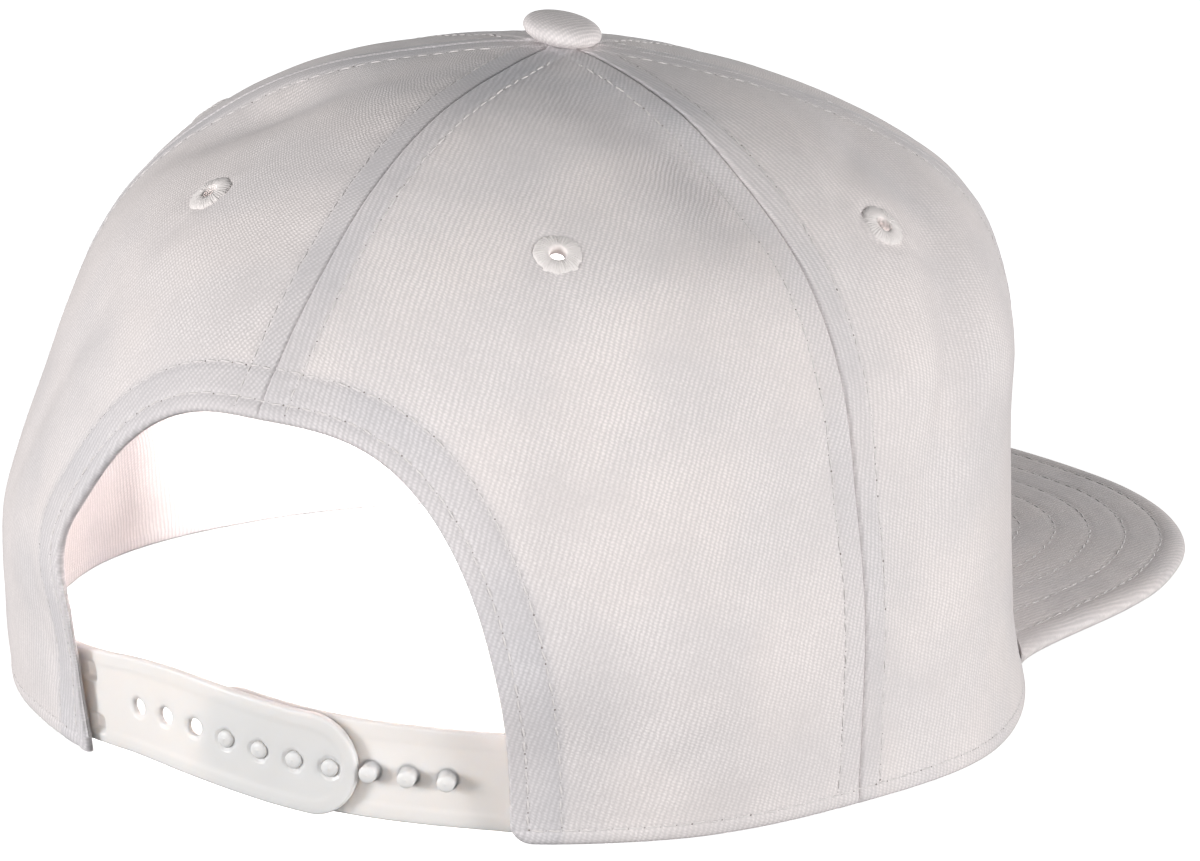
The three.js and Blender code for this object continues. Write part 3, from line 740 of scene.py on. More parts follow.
def chart(around, row):
    """The crown seen from above as a round map, with the button in the middle."""
    t = np.radians(around)
    return np.stack([(TOP - row) * np.cos(t), (TOP - row) * np.sin(t)], -1)


def resampled(around, row, shares):
    """A line on the crown, met at shares of its length, as places on that map."""
    p = crown(around, row)
    length = run_lengths(p)
    want = shares * length[-1]
    flat = chart(around, row)
    return np.stack([np.interp(want, length, flat[:, k]) for k in (0, 1)], -1)


def four_edged_grid(side):
    """Directions and rows of a back panel, stretched between its four edges."""
    way = WAYS[side]
    seam = way * SIDE_SEAM
    up, over = graded(ARCH_RUN, BACK_CELL), graded(RIM_RUN, BACK_CELL)
    share = np.linspace(0, 1, 900)
    arch = resampled(*arch_edge(side, share), up)
    top_row = row_at_radius(seam, TOP_HOLE)
    seam_edge = resampled(np.full(600, seam), np.linspace(0, top_row, 600), up)
    rim = resampled(np.linspace(way * ARCH_HALF[side], seam, 300), np.zeros(300), over)
    centre_rows = np.linspace(row_at_height(ARCH_HEIGHT), row_at_radius(0.0, TOP_HOLE), 600)
    corner = np.linspace(0, seam, 40)[1:]
    corner_rows = np.array([row_at_radius(a, TOP_HOLE) for a in corner])
    centre = resampled(np.concatenate([np.zeros(600), corner]),
                       np.concatenate([centre_rows, corner_rows]), over)
    u, v = up[:, None, None], over[None, :, None]
    flat = ((1 - v) * arch[:, None] + v * seam_edge[:, None] + (1 - u) * rim[None]
            + u * centre[None] - (1 - u) * (1 - v) * rim[0] - (1 - u) * v * rim[-1]
            - u * v * centre[-1] - u * (1 - v) * centre[0])
    return np.degrees(np.arctan2(flat[..., 1], flat[..., 0])), TOP - np.hypot(*flat.T).T


print("grid of a back panel", four_edged_grid("right")[0].shape)

# %% [markdown]
# The opening's lower corners are cut round, and the eyelets' holes are round as well. Cutting
# either with a boolean would leave slivers and break the weave. Instead the grid itself is moved:
# its corner is drawn in to a quarter circle, and the cells around an eyelet are pushed apart.

# %% Round corners and round holes
CORNER = 4.0  # radius of the opening's lower corners
MM_PER_DEGREE, MM_PER_ROW = 1.66, 14.95  # at the rim, beside the opening


def rounded_corner(around, row, side):
    """Pulls the lower corner of the opening in to a quarter round."""
    p = crown(around, row)
    from_arch, _ = distance_to(p, ARCH_LINES[side])
    from_rim, _ = distance_to(p, RIM_LINE)
    a, b = np.clip(CORNER - from_arch, 0, None), np.clip(CORNER - from_rim, 0, None)
    both = np.hypot(a, b)
    shrink = np.where((a > 0) & (b > 0), np.maximum(a, b) / np.maximum(both, 1e-9), 1)
    around = around + WAYS[side] * a * (1 - shrink) / MM_PER_DEGREE
    row = row + b * (1 - shrink) / MM_PER_ROW
    free = np.where((a > 0) & (b > 0), CORNER - both * shrink, np.minimum(from_arch, from_rim))
    return around, row, free


def opened_around(points, nearest, centre, axis, radius=2.3, block=2, reach=7, cell=0.85):
    """Moves the grid around its nearest point so that a block of cells opens to a circle."""
    i0, j0 = nearest
    i, j = np.meshgrid(np.arange(points.shape[0]), np.arange(points.shape[1]), indexing="ij")
    ring = np.maximum(np.abs(i - i0), np.abs(j - j0))
    near = (ring >= block) & (ring < block + reach)
    away = points - centre
    away = away - (away @ axis)[..., None] * axis
    size = np.linalg.norm(away, axis=-1)
    share = ease((ring - block) / reach)
    wanted = radius + (ring - block) * cell
    factor = np.where(near, (size * share + wanted * (1 - share)) / np.maximum(size, 1e-6), 1)
    return points + away * (factor - 1)[..., None]


def facing_out(points, faces):
    """Turns every face round when the closed body is inside out."""
    a, b, c, d = (points[faces[:, k]] for k in range(4))
    volume = (a * np.cross(b, c)).sum() + (a * np.cross(c, d)).sum()
    return faces if volume > 0 else faces[:, ::-1]


print("corner radius", CORNER, "mm")

# %% [markdown]
# A sheet of cloth has two faces and an edge. The outer face carries the relief, the inner one is
# plain and a little thicker where cloth lies double, and both draw together in a half round at
# the free edge. A Solidify modifier would do most of it, but not the rolled edge, and not the
# thicker hem. Near the rim the cloth's facing is levelled, so that the sheet stands flat.

# %% From a grid to a closed sheet of cloth
EDGE = CLOTH / 2  # the turned edge is a half round
LEVELLED = 7.0  # height over which the facing turns level


def cloth_panel(name, around, row, middle, free, eyelet, node, cell):
    p, out, up, double = dressed(around, row)
    z = p[..., 2]
    out = unit(out * np.stack([np.ones_like(z), np.ones_like(z), ease(z / LEVELLED)], -1))
    e = np.clip(EDGE - free, 0, EDGE)
    inset = EDGE - np.sqrt(np.maximum(EDGE**2 - e**2, 0))
    fade = np.clip(free / 1.2, 0, 1)
    outer = p + out * (up * np.maximum(fade, 0.35) - inset)[..., None]
    inner = p - out * (CLOTH + 0.35 * double * fade - inset)[..., None]
    for sheet in (outer, inner):
        sheet[..., 2] = np.maximum(sheet[..., 2], 0)
    rows, cols = around.shape
    spot, level_row = eyelet
    centre = crown(spot, level_row)
    axis = facing(crown, spot, level_row)
    gap = np.linalg.norm(outer - centre, axis=-1)
    i0, j0 = np.unravel_index(gap.argmin(), gap.shape)
    place = flat_place(around, row, middle)
    level = unit(crown(spot + 0.5, level_row) - crown(spot - 0.5, level_row))
    upright = unit(crown(spot, level_row + 0.02) - crown(spot, level_row - 0.02))
    opened = opened_around(outer, (i0, j0), centre, axis, cell=cell)
    place[..., 0] += (opened - outer) @ level
    place[..., 1] += (opened - outer) @ upright
    outer = opened
    inner = opened_around(inner, (i0, j0), centre - axis * CLOTH, axis, cell=cell)
    block, n = 2, rows * cols
    keep = ~((np.abs(np.arange(rows - 1)[:, None] - i0 + 0.5) < block)
             & (np.abs(np.arange(cols - 1)[None, :] - j0 + 0.5) < block)).ravel()
    sheets = [quads(rows, cols)[keep], quads(rows, cols, n, flip=True)[keep]]
    o = np.arange(n).reshape(rows, cols)
    hole = o[i0 - block:i0 + block + 1, j0 - block:j0 + block + 1]
    sheets += [wall(border_of(o), n), wall(border_of(hole), n)[:, ::-1]]
    points = np.concatenate([outer.reshape(-1, 3), inner.reshape(-1, 3)])
    return new_piece(name, points, facing_out(points, np.concatenate(sheets)),
                     CAP_CLOTH, np.concatenate([place.reshape(-1, 3)] * 2),
                     np.concatenate([double.ravel()] * 2), (node,),
                     np.concatenate([greyed_and_shaded(around, row).ravel()] * 2))


print("edge radius", EDGE, "mm")

# %% [markdown]
# Three panels on each side, right and left. The hidden front panels get larger cells, because
# nothing on them needs the finest relief. Each panel's weave starts from its own middle line, so
# the ribs meet at an angle in every seam, as they do where separate pieces of cloth are sewn.

# %% Six panels
PANELS = {}
for side, way in WAYS.items():
    around, row = four_edged_grid(side)
    around, row, free = rounded_corner(around, row, side)
    PANELS["back_" + side] = cloth_panel(
        "cloth_back_" + side, around, row, way * 34.0, free,
        (way * EYELETS["back"][0], EYELETS["back"][1]), "panel_back_" + side, BACK_CELL)
    for kind, start, end, large in (("side", SIDE_SEAM, FRONT_SEAM, 1.05),
                                    ("front", FRONT_SEAM, 180.0, 1.3)):
        around, row = polar_grid(way * start, way * end, large)
        free, _ = distance_to(crown(around, row), RIM_LINE)
        PANELS[kind + "_" + side] = cloth_panel(
            f"cloth_{kind}_{side}", around, row, way * (start + end) / 2, free,
            (way * EYELETS[kind][0], EYELETS[kind][1]), f"panel_{kind}_{side}", large)
print({name: faces_of(piece) for name, piece in PANELS.items()}, "triangles")

# %% [markdown]
# ## Rows of thread
# A row of lockstitch is a line of short threads that dive into the cloth at each needle hole, and
# the dark pinholes between them are what the eye catches on a plain cloth. A dashed line in the
# material would vanish from the side, so each stitch is a bowed thread of its own, not quite
# three millimetres from hole to hole, and each hole's shadow is a small dark cup of painted shade
# let into the cloth.

# %% Thread and needle holes
def thread_finish(name, colour, scale):
    material, tree, shader = finish_named(name, 0.6, Specular_IOR_Level=0.35, Sheen_Weight=0.15)
    place = Wire.node(tree, "TexCoord", {}, {}, "Object")
    strands = noisy(tree, place, scale, 3.0, 0.6)
    dim = tuple(0.86 * c for c in colour[:3]) + (1,)
    base = mixed(tree, strands, dim, colour)
    tree.links.new(base.socket, shader.inputs["Base Color"])
    bump = Wire.node(tree, "Bump", {}, {
        "Strength": 0.5, "Distance": 0.00006, "Height": strands}, "Normal")
    tree.links.new(bump.socket, shader.inputs["Normal"])
    return material


THREAD = thread_finish("sewing_thread", (0.735, 0.698, 0.687, 1), 2600.0)
# painted shade: the dark brown stands in for the shadow inside each needle hole
PINHOLE_SHADE = thread_finish("needle_hole_shade", (0.27, 0.24, 0.225, 1), 900.0)
STITCH, THREAD_RADIUS, THREAD_SIDES = 2.8, 0.17, 6
chance = np.random.default_rng(11)


def stitch_row(points, out, pitch=STITCH):
    """Threads and holes along a run of points; gives both as point and face lists."""
    length = run_lengths(points)
    count = max(1, int(round(length[-1] / pitch)))
    ends = np.linspace(0, length[-1], count + 1)
    bow = np.linspace(0, 1, 8)
    turn = full_turn(THREAD_SIDES)
    threads, holes = [], []
    for k in range(count):
        at = ends[k] + (ends[k + 1] - ends[k]) * (0.07 + 0.86 * bow)
        p = np.stack([np.interp(at, length, points[:, c]) for c in range(3)], -1)
        n = unit(np.stack([np.interp(at, length, out[:, c]) for c in range(3)], -1))
        ahead = unit(np.gradient(p, axis=0))
        side = unit(np.cross(ahead, n))
        lift = 0.24 * np.sin(math.pi * bow) ** 0.55 - 0.2 + chance.normal(0, 0.03)
        sway = chance.normal(0, 0.1) * (2 * bow - 1) + chance.normal(0, 0.06)
        middle = p + n * lift[:, None] + side * sway[:, None]
        r = THREAD_RADIUS * np.array([0.35, 0.85, 1, 1.04, 1.04, 1, 0.85, 0.35])
        ring = (middle[:, None] + side[:, None] * (r[:, None] * np.cos(turn))[..., None]
                + n[:, None] * (0.8 * r[:, None] * np.sin(turn))[..., None])
        threads.append(ring.reshape(-1, 3))
        holes.append((p[0] - ahead[0] * 0.2 + side[0] * chance.normal(0, 0.08), n[0], side[0],
                      max(0.05, chance.normal(0.13, 0.06))))
    return threads, holes


def thread_piece(name, threads, material=THREAD):
    rows = 8
    one = quads(rows, THREAD_SIDES, wrap=True)
    ends = np.array([[2, 1, 0, 5], [5, 4, 3, 2]])
    last = ends[:, ::-1] + (rows - 1) * THREAD_SIDES
    one = np.concatenate([one, ends, last])
    step = rows * THREAD_SIDES
    faces = np.concatenate([one + k * step for k in range(len(threads))])
    points = np.concatenate(threads)
    return new_piece(name, points, facing_out(points, faces), material)


def hole_shade_piece(name, holes):
    """Small dark lenses of painted shade, nearly flush with the cloth, for the shadow in each needle
    hole.
    """
    turn = full_turn(8)
    points, faces = [], []
    for k, (at, n, side, radius) in enumerate(holes):
        other = np.cross(n, side)
        rings = []
        for reach, height in ((0.45, 0.05), (1.0, 0.0), (0.45, -0.12)):
            rings.append(at + n * height + radius * reach * (
                np.cos(turn)[:, None] * side + np.sin(turn)[:, None] * other))
        points.append(np.concatenate(rings))
        first = k * 24
        caps = np.array([[0, 1, 2, 3], [0, 3, 4, 7], [4, 5, 6, 7]])
        faces += [quads(3, 8, first, wrap=True), caps[:, ::-1] + first, caps + first + 16]
    points = np.concatenate(points)
    return new_piece(name, points, facing_out(points, np.concatenate(faces)), PINHOLE_SHADE)


print("a stitch of", STITCH, "mm, thread of", 2 * THREAD_RADIUS, "mm")

# %% [markdown]
# Both rows of a seam run at one distance from it, whatever the panel's width at that height. So
# the distance is turned into degrees at each row of the crown, and the run ends where the seams
# crowd together under the button.

# %% Rows beside the seams
def on_cloth(around, row, sink=0.0):
    p, out, up, _ = dressed(around, row)
    return p + out * (up - sink)[:, None], out


def row_beside_seam(around, way, first_row):
    """Runs up beside a seam, at one distance from it, until the button covers it."""
    rows = np.linspace(first_row, TOP - 0.02, 500)
    per_degree = np.linalg.norm(
        crown(around + 0.5, rows) - crown(around - 0.5, rows), axis=-1)
    offset = SEAM_ROW / per_degree
    p = plain_crown(around + way * offset, rows)
    radius = np.hypot(p[:, 0] + CROWN_SHIFT, p[:, 1])
    keep = (offset < 24) & (radius > BUTTON_DIAMETER / 2 - 0.5)
    return around + way * offset[keep], rows[keep]


seam_threads, seam_holes = [], []
for name, around in SEAM_AT.items():
    start = row_at_height(ARCH_HEIGHT + 1.0) if name == "centre" else row_at_height(3.4)
    for way in (-1, 1):
        places, rows = row_beside_seam(around, way, start)
        threads, holes = stitch_row(*on_cloth(places, rows))
        seam_threads += threads
        seam_holes += holes
thread_piece("stitches_seams", seam_threads)
print(len(seam_threads), "stitches beside the seams")

# %% [markdown]
# The opening's hem has two rows of thread, which bend with its edge, and the rim has one. For the
# hem the edge's own points are moved into the cloth, at right angles to the edge.

# %% Rows around the opening and the rim
def row_in_arch(side, distance):
    """The opening's edge moved into the cloth."""
    share = np.linspace(0, 1, 500)
    around, row = arch_edge(side, share)
    p, out = crown(around, row), facing(crown, around, row)
    inward = unit(np.cross(np.gradient(p, axis=0), out))
    if (inward[200] * (crown(60.0 * np.sign(around[0]), 2.0) - p[200])).sum() < 0:
        inward = -inward
    return place_of(p + inward * distance)


arch_threads, arch_holes = [], []
for distance in ARCH_ROWS:
    run = []
    for side in ("right", "left"):
        around, row = row_in_arch(side, distance)
        keep = (row > row_at_height(3.2)) & (around * WAYS[side] > 0)
        around, row = around[keep], row[keep]
        run.append((around, row) if side == "right" else (around[::-1], row[::-1]))
    around, row = (np.concatenate([run[0][k], run[1][k]]) for k in (0, 1))
    threads, holes = stitch_row(*on_cloth(around, row))
    arch_threads += threads
    arch_holes += holes
thread_piece("stitches_opening", arch_threads)

rim_threads, rim_holes = [], []
for side, way in WAYS.items():
    around = way * np.linspace(ARCH_HALF[side] + 2.0, PEAK_CORNER - 1.5, 400)
    rows = np.full(400, row_at_height(RIM_ROW))
    threads, holes = stitch_row(*on_cloth(around, rows))
    rim_threads += threads
    rim_holes += holes
thread_piece("stitches_rim", rim_threads)
hole_shade_piece("needle_hole_shades_crown", seam_holes + arch_holes + rim_holes)
print(len(arch_threads), "stitches round the opening,", len(rim_threads), "along the rim")

# %% [markdown]
# ## Eyelets
# Each panel has an air hole, bound with close satin stitches from a hole of three millimetres out
# to eight, which lie nearly flush with the cloth. A torus would look moulded. Here the ring's
# section is swept around in fine steps, and each thread gets its own height and reach, drawn from
# a seeded chance, as a machine's uneven tension leaves them.

# %% Embroidered rings
def eyelet_ring(name, around, row, node):
    threads, per = 44, 6
    centre, axis = crown(around, row), facing(crown, around, row)
    level = unit(np.cross([0, 0, 1], axis))
    upright = np.cross(axis, level)
    count = threads * per
    phi = full_turn(count)
    strand = np.arange(count) // per
    bulge = np.abs(np.sin(math.pi * (np.arange(count) % per + 0.5) / per)) ** 0.6
    tall = chance.uniform(0.85, 1.15, threads)[strand]
    reach = chance.normal(0, 0.1, threads)[strand] + 0.1 * np.sin(3 * phi + around)
    hole, edge, low = EYELET_HOLE / 2, EYELET_DIAMETER / 2, -CLOTH - EYELET_PROUD / 2
    section = np.array([
        # how far from the hole's rim to the outer edge, height, share of the threads' relief
        (0.0, low, 0), (0.0, -0.6, 0.3), (0.01, -0.15, 0.6), (0.05, 0.12, 1), (0.13, 0.25, 1),
        (0.25, 0.31, 1), (0.38, 0.32, 1), (0.5, 0.28, 1), (0.64, 0.2, 1), (0.78, 0.08, 1),
        (0.9, -0.1, 0.8), (1.0, -0.4, 0.4), (1.0, -0.9, 0), (0.9, low + 0.3, 0), (0.6, low, 0),
    ])
    out, high, share = section.T
    radius = hole + out * (edge - hole) + out * reach[:, None]
    lift = high * np.where(high > 0, tall[:, None], 1) - 0.13 * share * (1 - bulge)[:, None]
    p = (centre + radius[..., None] * (np.cos(phi)[:, None, None] * level
                                       + np.sin(phi)[:, None, None] * upright)
         + lift[..., None] * axis)
    grid = np.arange(count * len(section)).reshape(count, len(section))
    a, b = grid, np.roll(grid, -1, 1)
    c, d = np.roll(b, -1, 0), np.roll(grid, -1, 0)
    faces = np.stack([a, b, c, d], -1).reshape(-1, 4)
    points = p.reshape(-1, 3)
    return new_piece(name, points, facing_out(points, faces), EYELET_THREAD,
                     stands_for=(node,))


EYELET_THREAD = thread_finish("embroidery_thread", (0.82, 0.77, 0.752, 1), 3000.0)
for kind, (around, row) in EYELETS.items():
    for side, way in WAYS.items():
        ring = eyelet_ring(f"eyelet_ring_{kind}_{side}", way * around, row,
                           f"eyelet_{kind}_{side}")
print("one ring has", faces_of(ring), "triangles")

# %% [markdown]
# ## Button
# The button is a metal shell with a disc of the same cloth pulled over it. It is a turned body,
# leaning a little toward the wearer's right, and the cloth gathers into fine pleats where it is
# drawn under. Its weave runs straight across the top and keeps its size down the sides.

# %% Covered button
BUTTON_SIDE = np.array([
    (0.5, 0.02), (0.8, 0.16), (0.955, 0.33), (1, 0.5), (0.965, 0.67), (0.85, 0.82),
    (0.64, 0.93), (0.34, 0.985), (0, 1),
])
# drawn in by its cloth, leaning more and lying flatter than the plain solid
DRAWN_IN, MORE_TILT, FLATTER, SEAT = 0.2, 5.0, 0.85, 0.15


def covered_button():
    radius, shank, seat = BUTTON_DIAMETER / 2 - DRAWN_IN, BUTTON_SHANK / 2, SEAT
    tilt = math.radians(BUTTON_TILT + MORE_TILT)
    axis = np.array([-math.sin(tilt), 0, math.cos(tilt)])
    level = np.array([math.cos(tilt), 0, math.sin(tilt)])
    depth = np.cross(axis, level)
    at = np.linspace(0, 8, 61)
    reach = along(BUTTON_SIDE[:, 0], at, 0.3, -0.35)
    rise = along(BUTTON_SIDE[:, 1], at, -0.02, 0.985)
    tall = BUTTON_HEIGHT * FLATTER
    side = np.column_stack([radius * reach, seat + tall * rise])
    side[-1] = (0.02, seat + tall)
    foot = [(0.02, -CLOTH - 1), (shank * 0.7, -CLOTH - 1), (shank, -CLOTH - 0.8), (shank, seat - 0.2),
            (shank + 0.4, seat), (radius * 0.45, seat)]
    profile = np.concatenate([foot, side])
    count = 144
    phi = full_turn(count)
    low = 1 - ease((profile[:, 1] - seat) / (BUTTON_HEIGHT * 0.5))
    covered = (profile[:, 0] > radius * 0.7) & (profile[:, 1] >= seat)
    pleat = 0.12 * np.cos(22 * phi[None] + np.sin(3 * phi)[None]) * (low * covered)[:, None]
    r = profile[:, :1] + pleat
    top = crown(0.0, float(TOP))
    p = (top + r[..., None] * (np.cos(phi)[None, :, None] * level + np.sin(phi)[None, :, None] * depth)
         + profile[:, 1][:, None, None] * axis)
    from_top = run_lengths(profile[::-1])[::-1]
    place = np.stack([from_top[:, None] * np.cos(phi), from_top[:, None] * np.sin(phi),
                      np.full((len(profile), count), 77.0)], -1)
    faces = quads(len(profile), count, wrap=True)
    caps = [[k, k + 1, count - 2 - k, count - 1 - k] for k in range(count // 2 - 1)]
    last = (len(profile) - 1) * count
    faces = np.concatenate([faces, np.array(caps), np.array(caps)[:, ::-1] + last])
    points = p.reshape(-1, 3)
    return new_piece("cloth_button", points, facing_out(points, faces), CAP_CLOTH,
                     place.reshape(-1, 3), stands_for=("button",))


print("button", faces_of(covered_button()), "triangles")

# %% [markdown]
# ## Peak
# The peak is a stiff board wrapped in the crown's cloth, sewn through in rows that follow its
# edge. It is flat, with a soft half-round edge where the cloth turns under, so its section is
# worked out from the distance to the outline: full thickness inside, an ellipse at the edge, and
# a shallow channel under each row of stitches.

# %% Outline of the peak
PEAK_ACROSS = np.array([0, 0.24, 0.48, 0.67, 0.82, 0.93, 0.988, 1.0, 0.988, 0.965])
PEAK_FORWARD = np.array([1.0, 0.984, 0.937, 0.874, 0.78, 0.65, 0.487, 0.36, 0.216, 0.09])
PEAK_ROWS = (5.0, 12.0, 19.0, 26.0, 33.0, 40.0, 47.0)
PEAK_ROLL = 3.2  # width of the rounded edge
CORNER_SHARE = 0.2  # how much of the solid's step at the crown the cloth leaves

corner = rim_point(PEAK_CORNER)
PEAK_HALF = abs(corner[0]) + PEAK_FLARE
reach = RIM_FRONT_REACH + PEAK_LENGTH + corner[1]
knots = np.column_stack([PEAK_HALF * PEAK_ACROSS, corner[1] - reach * PEAK_FORWARD])
at = np.linspace(0, len(knots) - 1, 400)
far_half = np.column_stack([
    along(knots[:, 0], at, -knots[1, 0], knots[-1, 0] * 0.975),
    along(knots[:, 1], at, knots[1, 1], corner[1] + 2.0)])


def peak_edges(count):
    """Points along the crown's rim and the peak's outline, from corner to corner."""
    s = np.linspace(-1, 1, count)
    around = 180 - (180 - PEAK_CORNER) * np.abs(s)
    near = rim_point(around)[:, :2]
    ahead = unit(rim_point(around - 0.5)[:, :2] - rim_point(around + 0.5)[:, :2])
    out = np.column_stack([-ahead[:, 1], ahead[:, 0]])
    out *= np.sign((out * near).sum(1))[:, None]
    near = near + out * 0.1
    near[:, 0], out[:, 0] = np.abs(near[:, 0]), np.abs(out[:, 0])
    length = run_lengths(far_half)
    want = np.abs(s) * length[-1]
    far = np.column_stack([np.interp(want, length, far_half[:, k]) for k in (0, 1)])
    blend = (np.abs(s) ** 10)[:, None]
    far = far * (1 - blend) + (near + out * PEAK_CORNER_STEP * CORNER_SHARE) * blend
    for line in (near, far):
        line[:, 0] *= np.where(s < 0, -1, 1)
    return near, far


NEAR_EDGE, FAR_EDGE = peak_edges(401)
print("peak outline", FAR_EDGE.min(0).round(1), FAR_EDGE.max(0).round(1))

# %% [markdown]
# From the distance to the outline follow the two faces of the board: its roll at the edge, the
# channels under the thread and a slow unevenness of the cloth between them.

# %% Faces of the board
PEAK_CELL, PEAK_ACROSS_RUN, PEAK_DEEP_RUN = 1.4, 236, 140


def flat_distance(points, line):
    with_z = np.concatenate([points, np.zeros(points.shape[:-1] + (1,))], -1)
    return distance_to(with_z, np.column_stack([line, np.zeros(len(line))]))


def peak_faces_at(points):
    """Height of the top and of the underside over plan points."""
    edge, place = flat_distance(points, FAR_EDGE)
    camber = PEAK_CAMBER * (1 - (points[..., 0] / PEAK_HALF) ** 2)
    t = np.clip(1 - edge / PEAK_ROLL, 0, 1)
    roll = PEAK_THICKNESS / 2 * (1 - np.sqrt(np.maximum(1 - t * t, 0)))
    channels = sum(0.16 * bell((edge - row) / 0.6) for row in PEAK_ROWS)
    swell = 0.07 * np.sin(place / 2.3) * bell((edge - 8.5) / 2.2)
    with_z = np.concatenate([points, np.zeros(points.shape[:-1] + (1,))], -1)
    swell = swell + 0.16 * smooth_noise(with_z, 18.0, 4)
    top = camber + PEAK_THICKNESS - roll - channels + swell * (1 - t)
    return top, np.maximum(camber + roll, 0), edge


high, low, _ = peak_faces_at(np.array([0.0, -130.0]))
print("the board's middle lies from", low.round(2), "to", high.round(2), "mm")

# %% [markdown]
# The board's grid runs from the crown's rim to the outline and from corner to corner. Its weave
# lies straight across the whole peak, because it is cut from one piece of cloth.

# %% Board and cloth of the peak
over = graded(PEAK_ACROSS_RUN, PEAK_CELL, 0.4, 0.06)
deep = 1 - graded(PEAK_DEEP_RUN, PEAK_CELL, 0.2, 0.06)[::-1]
cols = np.interp(over, np.linspace(0, 1, 401), np.arange(401))
near = np.column_stack([np.interp(cols, np.arange(401), NEAR_EDGE[:, k]) for k in (0, 1)])
far = np.column_stack([np.interp(cols, np.arange(401), FAR_EDGE[:, k]) for k in (0, 1)])
plan = near[None] + (far - near)[None] * deep[:, None, None]
top, bottom, edge = peak_faces_at(plan)
upper = np.concatenate([plan, top[..., None]], -1)
lower = np.concatenate([plan, bottom[..., None]], -1)
rows_n, cols_n = top.shape
n = rows_n * cols_n
o = np.arange(n).reshape(rows_n, cols_n)
peak_quads = np.concatenate([quads(rows_n, cols_n), quads(rows_n, cols_n, n, flip=True),
                             wall(border_of(o), n)])
peak_points = np.concatenate([upper.reshape(-1, 3), lower.reshape(-1, 3)])
weave = np.concatenate([plan, np.full(plan.shape[:-1] + (1,), 41.0)], -1).reshape(-1, 3)
weave_low = weave + np.array([13.0, 7.0, 5.0])
cap_peak = new_piece("cloth_peak", peak_points, facing_out(peak_points, peak_quads), CAP_CLOTH,
                     np.concatenate([weave, weave_low]), stands_for=("peak",))
print("peak", faces_of(cap_peak), "triangles")

# %% [markdown]
# Each row of thread is the outline moved inward. Where a row would fold over itself, or run into
# the crown, its points are left out.

# %% Rows of thread over the peak
peak_threads, peak_holes = [], []
inward = unit(np.gradient(FAR_EDGE, axis=0))
inward = np.column_stack([-inward[:, 1], inward[:, 0]])
inward *= np.sign((inward[200] * -FAR_EDGE[200]).sum())
for distance in PEAK_ROWS:
    line = FAR_EDGE + inward * distance
    _, _, gap = peak_faces_at(line)
    from_crown, _ = flat_distance(line, NEAR_EDGE)
    inside = (gap > distance - 0.4) & (from_crown > 2.0)
    inside &= (line[:, 1] < np.interp(line[:, 0], np.sort(NEAR_EDGE[:, 0]),
                                      NEAR_EDGE[np.argsort(NEAR_EDGE[:, 0]), 1]) - 1.5)
    if inside.sum() < 20:
        continue
    line = line[inside]
    top, _, _ = peak_faces_at(line)
    up = np.tile([0.0, 0.0, 1.0], (len(line), 1))
    threads, holes = stitch_row(np.column_stack([line, top]), up, 3.4)
    peak_threads += threads
    peak_holes += holes
thread_piece("stitches_peak", peak_threads)
hole_shade_piece("needle_hole_shades_peak", peak_holes)
print(len(peak_threads), "stitches over the peak")

# %% [markdown]
# ## Snap strap
# The strap is moulded in two halves from a milky, slightly waxy plastic: a flat strip with a
# raised border and seven round holes, and behind it a strip with seven pegs. A bevelled curve
# could make each strip, but it couldn't follow the rim's bend with an even mesh. So each is a
# grid along the rim, and the border, the softened edges and the dished holes all come from the
# distance to the strip's outline.

# %% Milky plastic
def milky_plastic():
    material, tree, shader = finish_named(
        "milky_snap_plastic", 0.38, Specular_IOR_Level=0.45, Subsurface_Weight=0.5,
        Subsurface_Scale=0.004)
    shader.inputs["Subsurface Radius"].default_value = (1.0, 0.9, 0.8)
    place = Wire.node(tree, "TexCoord", {}, {}, "Object")
    cloud = noisy(tree, place, 55.0, 2.0)
    base = mixed(tree, cloud, (0.705, 0.684, 0.668, 1), (0.765, 0.746, 0.731, 1))
    tree.links.new(base.socket, shader.inputs["Base Color"])
    grain = noisy(tree, place, 1500.0, 2.0)
    rough = Wire.node(tree, "MapRange", {}, {
        "Value": noisy(tree, place, 120.0, 3.0), 1: 0.3, 2: 0.7, 3: 0.3, 4: 0.5})
    tree.links.new(rough.socket, shader.inputs["Roughness"])
    bump = Wire.node(tree, "Bump", {}, {
        "Strength": 0.25, "Distance": 0.00003, "Height": grain}, "Normal")
    tree.links.new(bump.socket, shader.inputs["Normal"])
    return material


SNAP_PLASTIC = milky_plastic()
print("plastic nodes", len(SNAP_PLASTIC.node_tree.nodes))

# %% [markdown]
# Places along the strap are lengths in millimetres from the centre back, toward the wearer's
# right, at the back of the rim. All of them follow from one place, the round tip of the outer
# half, and from the pitch of the holes, so every stud stands in a hole. The fastened strap does
# not hang level: it climbs from the left panel and sinks to the right.

# %% Places along the strap
def run_of(degrees):
    return math.radians(degrees) * RIM_BACK_REACH


TIP_TO_HOLE, TIP_TO_PEG = 5.1, 7.02
LEFT_TIP = run_of(12.3)
LAST_HOLE = LEFT_TIP - TIP_TO_HOLE
FIRST_PEG = LAST_HOLE - HOLE_PITCH * (HOLES_IN_USE - 1)
RIGHT_TIP = FIRST_PEG - TIP_TO_PEG
HOLE_RADIUS, LIP_RELIEF = 1.56, 0.1
LEFT_WIDTH, LEFT_LIP = 17.8, 2.1
RIGHT_WIDTH, RIGHT_LIP = 17.2, 2.3
PEG_REACH = 0.2  # how far a stud stands out beyond the strap that it fastens
BEHIND_STRAP = STRAP_THICKNESS + STRAP_LIP + CLEARANCE


def left_inset(run):
    """How far the outer half lies inside the rim's line, deeper where it goes behind its panel."""
    return 0.6 + 0.5 * ease((-run - 8) / 30)


def right_inset(run):
    return np.full_like(run, BEHIND_STRAP + 0.45)


